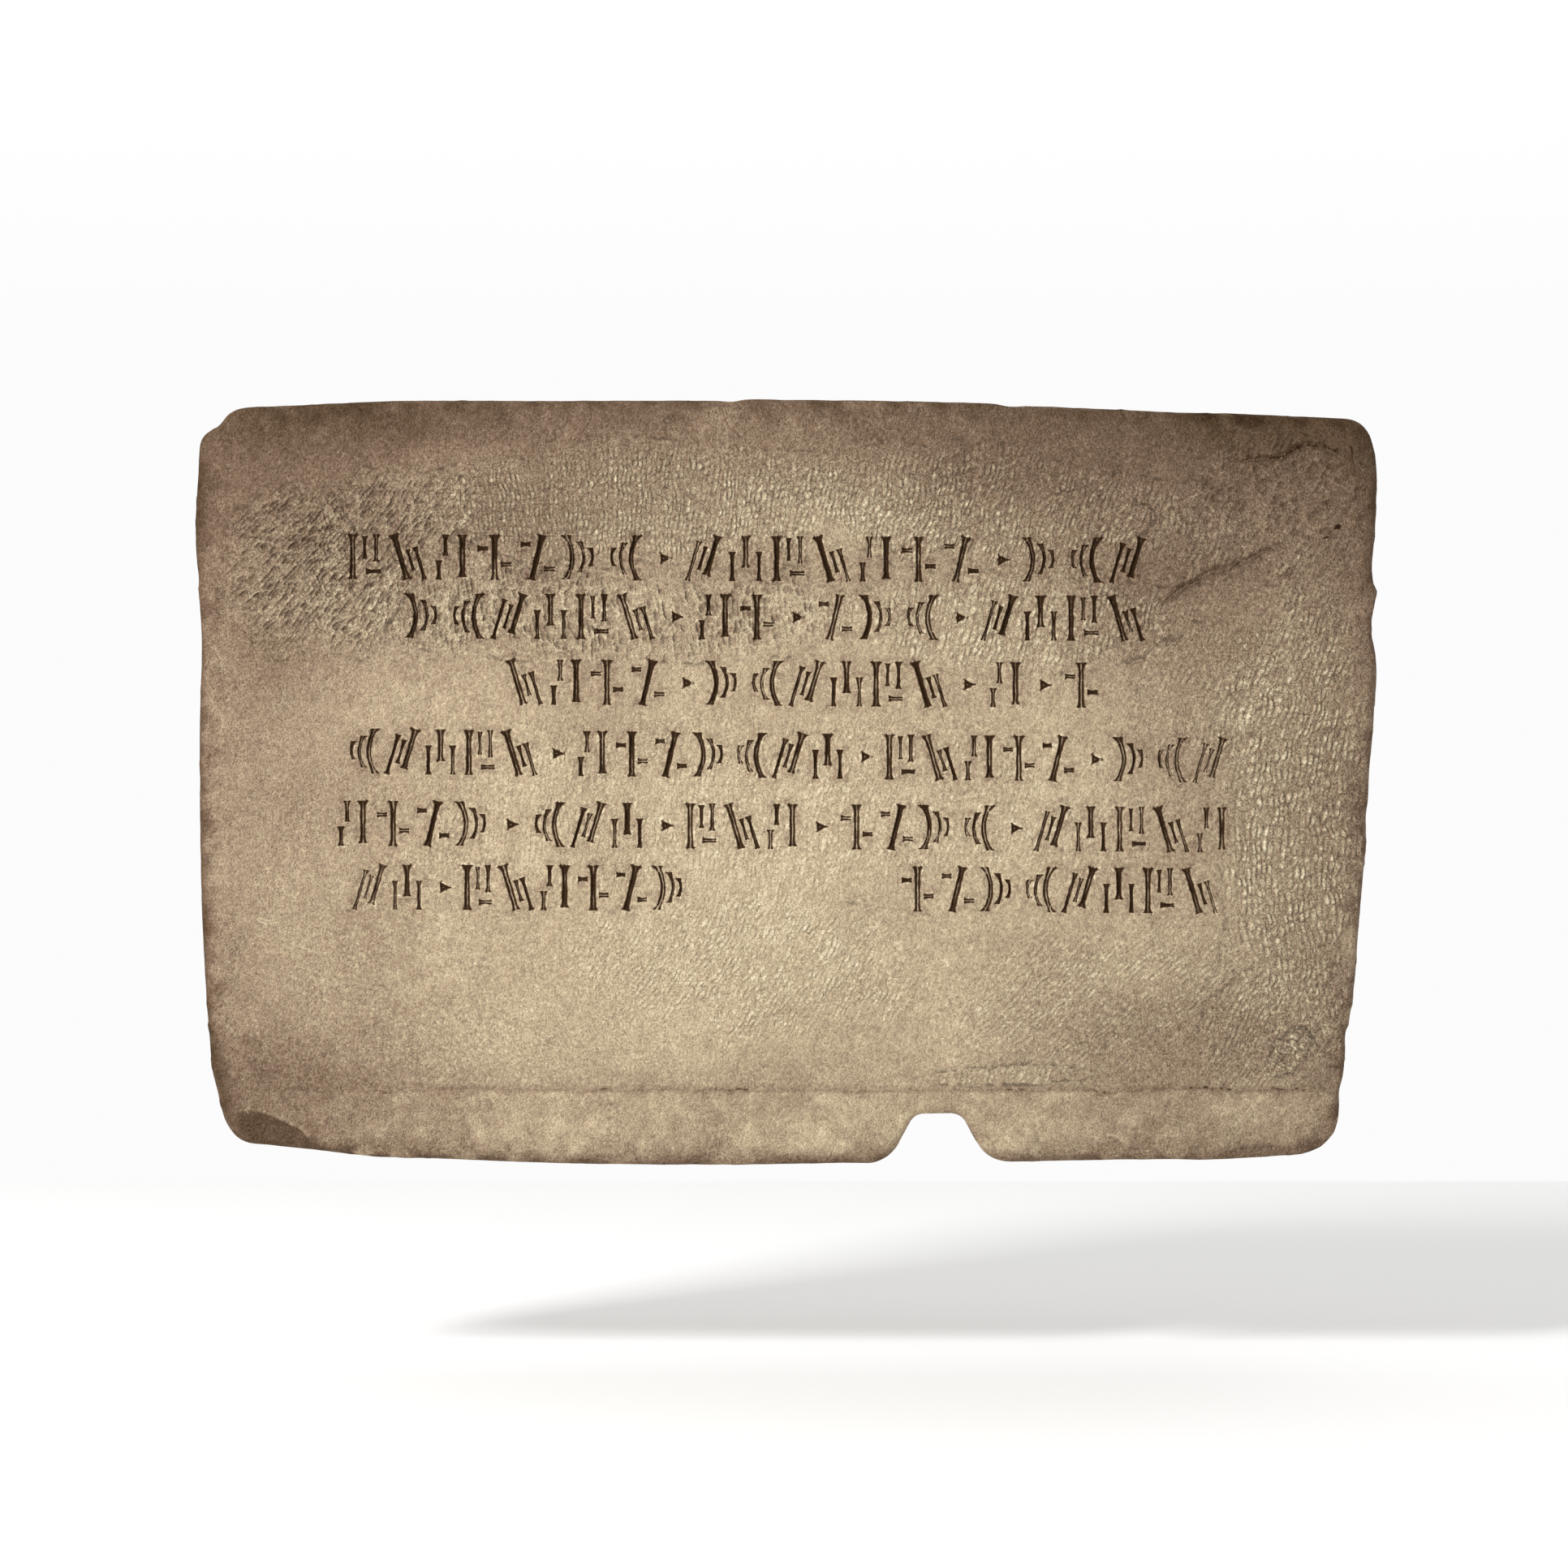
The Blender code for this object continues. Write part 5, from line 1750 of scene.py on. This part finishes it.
class NodeSheet:
    """The node tree of a material or a room, with short ways to add the nodes that they use."""

    def __init__(self, owner: bpy.types.Material | bpy.types.World) -> None:
        """Turn on the owner's nodes.

        Args:
            owner: the material or the room.
        """
        owner.use_nodes = True
        self.nodes = owner.node_tree.nodes
        self.links = owner.node_tree.links

    def feed(self, socket: Socket, value: object) -> None:
        """Give a socket its value.

        Args:
            socket: the socket.
            value: another node's socket, which is linked to it, or what it holds itself.
        """
        if isinstance(value, Socket):
            self.links.new(value, socket)
        else:
            socket.default_value = value

    def node(self, kind: str, fed: dict | None = None, **choices: object) -> bpy.types.Node:
        """A new node.

        Args:
            kind: its type, without the first word, ShaderNode.
            fed: what goes into its sockets, by their names or numbers.
            choices: its other settings.

        Returns:
            The node.
        """
        node = self.nodes.new("ShaderNode" + kind)
        for name, value in choices.items():
            setattr(node, name, value)
        for name, value in (fed or {}).items():
            self.feed(node.inputs[name], value)
        return node

    def attribute(self, name: str) -> Socket:
        """One of the mesh's attributes, as a number."""
        return self.node("Attribute", attribute_name=name).outputs["Fac"]

    def parts(self, name: str) -> tuple[Socket, ...]:
        """The three numbers of one of the mesh's vector attributes."""
        return self.split(self.node("Attribute", attribute_name=name).outputs["Vector"])

    def split(self, vector: Socket) -> tuple[Socket, ...]:
        """The three numbers of a vector or a colour."""
        return tuple(self.node("SeparateXYZ", {0: vector}).outputs)

    def joined(self, *numbers: Socket) -> Socket:
        """A vector of two or three numbers."""
        return self.node("CombineXYZ", dict(enumerate(numbers))).outputs[0]

    def maths(self, kind: str, *values: object) -> Socket:
        """The result of an operation on sockets and numbers."""
        return self.node("Math", dict(enumerate(values)), operation=kind).outputs[0]

    def total(self, *values: object) -> Socket:
        """The sum of several sockets, added up from the last to the first."""
        return reduce(partial(self.maths, "ADD"), reversed(values))

    def smooth(self, value: Socket, low: float, high: float) -> Socket:
        """0 below low, 1 above high and a smooth step between."""
        fed = {"From Min": low, "From Max": high, "Value": value}
        return self.node("MapRange", fed, interpolation_type="SMOOTHSTEP").outputs["Result"]

    def noise(self, layer: NoiseLayer, place: Socket, shift: float = 0.0) -> Socket:
        """Noise about 0, as strong as its layer says.

        Args:
            layer: its size and strength.
            place: the place at which it is read.
            shift: another shift gives another noise.

        Returns:
            The noise.
        """
        fed = {"W": shift, "Scale": layer.scale, "Detail": layer.detail, "Roughness": 0.58, "Vector": place}
        node = self.node("TexNoise", fed, noise_dimensions="4D")
        centred = self.maths("SUBTRACT", node.outputs["Fac"], 0.5)
        return self.maths("MULTIPLY", centred, layer.strength)

    def cells(self, vector: Socket, scatter: float) -> tuple[Socket, Socket]:
        """Cells of one to each unit square of a plane.

        Args:
            vector: the place in the plane.
            scatter: 0 to 1, how far each cell's middle strays from the square's.

        Returns:
            The distance to the nearest cell's middle, and that cell's random number.
        """
        fed = {"Scale": 1.0, "Randomness": scatter, "Vector": vector}
        node = self.node("TexVoronoi", fed, voronoi_dimensions="2D")
        return node.outputs["Distance"], self.split(node.outputs["Color"])[0]

    def ramp(self, value: Socket, stops: tuple) -> Socket:
        """A colour from a number.

        Args:
            value: the number, between 0 and 1.
            stops: the (place, colour) pairs to blend between.

        Returns:
            The colour.
        """
        node = self.node("ValToRGB", {"Fac": value})
        while len(node.color_ramp.elements) < len(stops):
            node.color_ramp.elements.new(0.5)
        for element, (at, colour) in zip(node.color_ramp.elements, stops):
            element.position = at
            element.color = (*colour, 1.0)
        return node.outputs["Color"]


@dataclass(frozen=True)
class StoneFinish:
    """Warm beige stone with an aged skin, dirt and painted shade in the cuts, chisel marks and a sandy
    grain.

    The skin's colour follows its darkness, from pale cream through tan and brown to soot.
    """

    skin: tuple[tuple[float, tuple[float, float, float]], ...] = (
        (-0.3, (0.9, 0.78, 0.56)),
        (0.0, (0.606, 0.485, 0.315)),
        (0.2, (0.456, 0.352, 0.235)),
        (0.41, (0.347, 0.254, 0.169)),
        (0.64, (0.25, 0.171, 0.114)),
        (0.86, (0.175, 0.114, 0.074)),
        (1.22, (0.107, 0.066, 0.037)),
        (1.9, (0.038, 0.019, 0.008)),
    )
    dirt_and_shade_gain: float = 2.25
    rim_gain: float = 0.45
    tone_gain: float = 0.35
    clouds: NoiseLayer = NoiseLayer(12.0, 5.0, 0.24)
    blotches: NoiseLayer = NoiseLayer(85.0, 4.0, 0.4)
    sand: NoiseLayer = NoiseLayer(300.0, 3.0, 0.62)
    grain: NoiseLayer = NoiseLayer(800.0, 2.0, 1.12)
    wobble: NoiseLayer = NoiseLayer(150.0, 1.0, 0.72)
    scatter: float = 0.46
    worked_gain: float = 0.4
    aged_gain: float = 0.36
    # painted light: dressed stretches painted paler to make up for the shade that their bump casts
    worked_painted_light: float = 0.08
    aged_span: Pair = (0.05, 0.5)
    rim_span: Pair = (0.22, 0.6)
    grain_reach: float = 0.56
    grain_lowest: float = 0.12
    grain_skew: float = 1.5
    ground_level: float = 0.25
    # painted light and shade: grain crowns painted paler and chisel pits darker, as their relief is lit
    comb_painted_light: float = 0.5
    comb_height: float = 1.15
    lump_height: float = 0.9
    sand_height: float = 0.62
    grain_height: float = 0.45
    roughness: float = 0.9
    roughness_spread: float = 0.25
    specular: float = 0.06
    relief: float = 0.0028

    def combed(self, sheet: NodeSheet, place: Socket, dressing: Dressing) -> Socket:
        """The grains (above 0) that one going-over with the toothed chisel left standing.

        The mesh tells the tooth and the row at each place.  In that plane, with a wobble added,
        every unit square has one grain near its middle: a dome k (1 - (d / grain_reach)^2), where
        d is the distance to the nearest grain's middle and k from grain_lowest to 1 is its height
        by chance.

        Args:
            sheet: the node tree.
            place: the place in space.
            dressing: which going-over.

        Returns:
            m (dome - ground_level), with the mesh's own strength m, which is negative where the
            chisel left pits instead.
        """
        tooth, row, strength = sheet.parts(dressing.value)
        wobble = (sheet.noise(self.wobble, place), sheet.noise(self.wobble, place, shift=7.0))
        lattice = sheet.joined(*(sheet.total(*pair) for pair in zip((tooth, row), wobble)))
        nearest, chance = sheet.cells(lattice, self.scatter)
        far = sheet.maths("POWER", sheet.maths("DIVIDE", nearest, self.grain_reach), 2.0)
        dome = sheet.maths("MAXIMUM", sheet.maths("SUBTRACT", 1.0, far), 0.0)
        skewed = sheet.maths("POWER", chance, self.grain_skew)
        height = sheet.maths("MULTIPLY_ADD", skewed, 1.0 - self.grain_lowest, self.grain_lowest)
        stood = sheet.maths("MULTIPLY_ADD", dome, height, -self.ground_level)
        return sheet.maths("MULTIPLY", stood, strength)

    def material(self) -> bpy.types.Material:
        """The finish as nodes that read Object coordinates and the mesh's attributes.

        Returns:
            The material.
        """
        stone = bpy.data.materials.new("warm_beige_stone")
        sheet = NodeSheet(stone)
        place = sheet.node("TexCoord").outputs["Object"]
        worked = sheet.total(*(sheet.maths("ABSOLUTE", sheet.parts(dressing.value)[2])
                               for dressing in Dressing))
        weathered = sheet.smooth(sheet.attribute("patina"), *self.aged_span)
        rough_gain = sheet.total(sheet.maths("MULTIPLY_ADD", worked, self.worked_gain, 1.0),
                                 sheet.maths("MULTIPLY", weathered, self.aged_gain))
        clouds, blotches = (sheet.noise(layer, place) for layer in (self.clouds, self.blotches))
        sand, grain = (sheet.maths("MULTIPLY", sheet.noise(layer, place), rough_gain)
                       for layer in (self.sand, self.grain))
        marks = sheet.total(*(self.combed(sheet, place, dressing) for dressing in Dressing))
        # painted shade: the cuts' dirt and the shade in their walls, made crisp at the rims
        cut = sheet.attribute("cut_dirt_and_shade")
        rim = sheet.smooth(sheet.total(cut, sheet.maths("MULTIPLY", sand, 0.5)), *self.rim_span)
        packed_dirt_and_shade = sheet.maths("MULTIPLY_ADD", cut, self.dirt_and_shade_gain - self.rim_gain, self.rim_gain)
        aged = sheet.total(
            sheet.attribute("patina"), clouds, blotches, sand, grain,
            sheet.maths("MULTIPLY", rim, packed_dirt_and_shade),
            # painted light and shade of the chisel relief
            sheet.maths("MULTIPLY", marks, -self.comb_painted_light),
            # painted light making up for the bump's shade
            sheet.maths("MULTIPLY", worked, -self.worked_painted_light),
            sheet.maths("MULTIPLY", sheet.attribute("tone_and_painted_light"), -self.tone_gain),
        )
        first, last = self.skin[0][0], self.skin[-1][0]
        share = sheet.maths("DIVIDE", sheet.maths("SUBTRACT", aged, first), last - first)
        stops = tuple(((at - first) / (last - first), colour) for at, colour in self.skin)
        colour = sheet.ramp(share, stops)
        rough = sheet.maths("MULTIPLY_ADD", blotches, self.roughness_spread, self.roughness)
        height = sheet.total(
            sheet.maths("MULTIPLY", blotches, self.lump_height / self.blotches.strength),
            sheet.maths("MULTIPLY", sand, self.sand_height / self.sand.strength),
            sheet.maths("MULTIPLY", grain, self.grain_height / self.grain.strength),
            sheet.maths("MULTIPLY", marks, self.comb_height),
        )
        bump = sheet.node("Bump", {"Strength": 1.0, "Distance": self.relief, "Height": height})
        looks = {"Base Color": colour, "Roughness": rough, "Specular IOR Level": self.specular,
                 "Normal": bump.outputs["Normal"]}
        for name, value in looks.items():
            sheet.feed(sheet.nodes["Principled BSDF"].inputs[name], value)
        return stone


@dataclass
class Studio:
    """A pale floor, soft light and a camera square to the slab's front.

    The room grows brighter along Y and along Z, each by the two ends of a stretch of direction
    and the brightness at either end.
    """

    lens: float = 100.0
    frame_width: float = 1.0998
    frame_depth: float = -0.0615
    aim: Pair = (-0.0015, -0.0015)
    floor_drop: float = 0.14
    key_place: tuple[float, float, float] = (-2.4, -2.7, 2.0)
    key_size: float = 0.9
    key_power: float = 139.0
    floor_reach: float = 14.0
    floor_behind: float = 1.35
    floor_colour: tuple[float, ...] = (0.95, 0.95, 0.945, 1.0)
    floor_roughness: float = 0.9
    room_to_back: tuple[float, ...] = (-0.6, 0.9, 0.04, 0.97)
    room_upwards: tuple[float, ...] = (0.1, 0.9, 0.0, 0.48)

    def camera(self) -> None:
        """A long lens, as far off as its field needs to be frame_width wide at frame_depth."""
        data = bpy.data.cameras.new("camera")
        data.lens = self.lens
        distance = self.frame_width * self.lens / data.sensor_width
        camera = bpy.data.objects.new("camera", data)
        camera.location = (self.aim[0], self.frame_depth - distance, self.aim[1])
        camera.rotation_euler = (math.pi / 2, 0.0, 0.0)
        bpy.context.scene.collection.objects.link(camera)
        bpy.context.scene.camera = camera

    def floor(self) -> None:
        """A wide pale floor a little below the slab."""
        reach, behind, z = self.floor_reach, self.floor_behind, CAD_LOW.z - self.floor_drop
        mesh = bpy.data.meshes.new("floor")
        corners = [(-reach, -reach, z), (reach, -reach, z), (reach, behind, z), (-reach, behind, z)]
        mesh.from_pydata(corners, [], [(0, 1, 2, 3)])
        material = bpy.data.materials.new("pale_floor")
        material.use_nodes = True
        shader = material.node_tree.nodes["Principled BSDF"]
        shader.inputs["Base Color"].default_value = self.floor_colour
        shader.inputs["Roughness"].default_value = self.floor_roughness
        mesh.materials.append(material)
        floor = bpy.data.objects.new("floor", mesh)
        bpy.context.scene.collection.objects.link(floor)

    def key_light(self) -> None:
        """A square soft light aimed at the slab."""
        data = bpy.data.lights.new("key_light", "AREA")
        data.size = self.key_size
        data.energy = self.key_power
        light = bpy.data.objects.new("key_light", data)
        light.location = self.key_place
        light.rotation_euler = (-Vector(self.key_place)).to_track_quat("-Z", "Y").to_euler()
        bpy.context.scene.collection.objects.link(light)

    def world(self) -> None:
        """A pale room: bright behind and above the slab, dimmer in front, so that relief shows."""
        world = bpy.data.worlds.new("pale_room")
        sheet = NodeSheet(world)
        facing = sheet.node("SeparateXYZ")
        sheet.feed(facing.inputs[0], sheet.node("TexCoord").outputs["Generated"])
        levels = []
        for axis, spans in (("Y", self.room_to_back), ("Z", self.room_upwards)):
            fed = dict(zip(("From Min", "From Max", "To Min", "To Max"), spans))
            level = sheet.node("MapRange", fed | {"Value": facing.outputs[axis]})
            levels.append(level.outputs["Result"])
        light = {"Strength": sheet.maths("ADD", *levels), "Color": (1.0, 1.0, 1.0, 1.0)}
        for name, value in light.items():
            sheet.feed(sheet.nodes["Background"].inputs[name], value)
        bpy.context.scene.world = world

    def build(self) -> None:
        """Set up the floor, the light, the room and the camera."""
        self.floor()
        self.key_light()
        self.world()
        self.camera()
        bpy.context.scene.view_settings.view_transform = "Standard"


def main() -> None:
    """Build the stage and the slab."""
    logging.basicConfig(level=logging.INFO, format="%(name)s: %(message)s")
    Studio().build()
    outline = SlabOutline()
    slab = SlabStone(outline, Ground(outline), CarvedRows(), ChiselDressing(), WeatheringAndPaintedLight(outline)).build()
    slab.data.materials.append(StoneFinish().material())
    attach(slab, "root")
    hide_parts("slab")


if __name__ == "__main__":
    main()
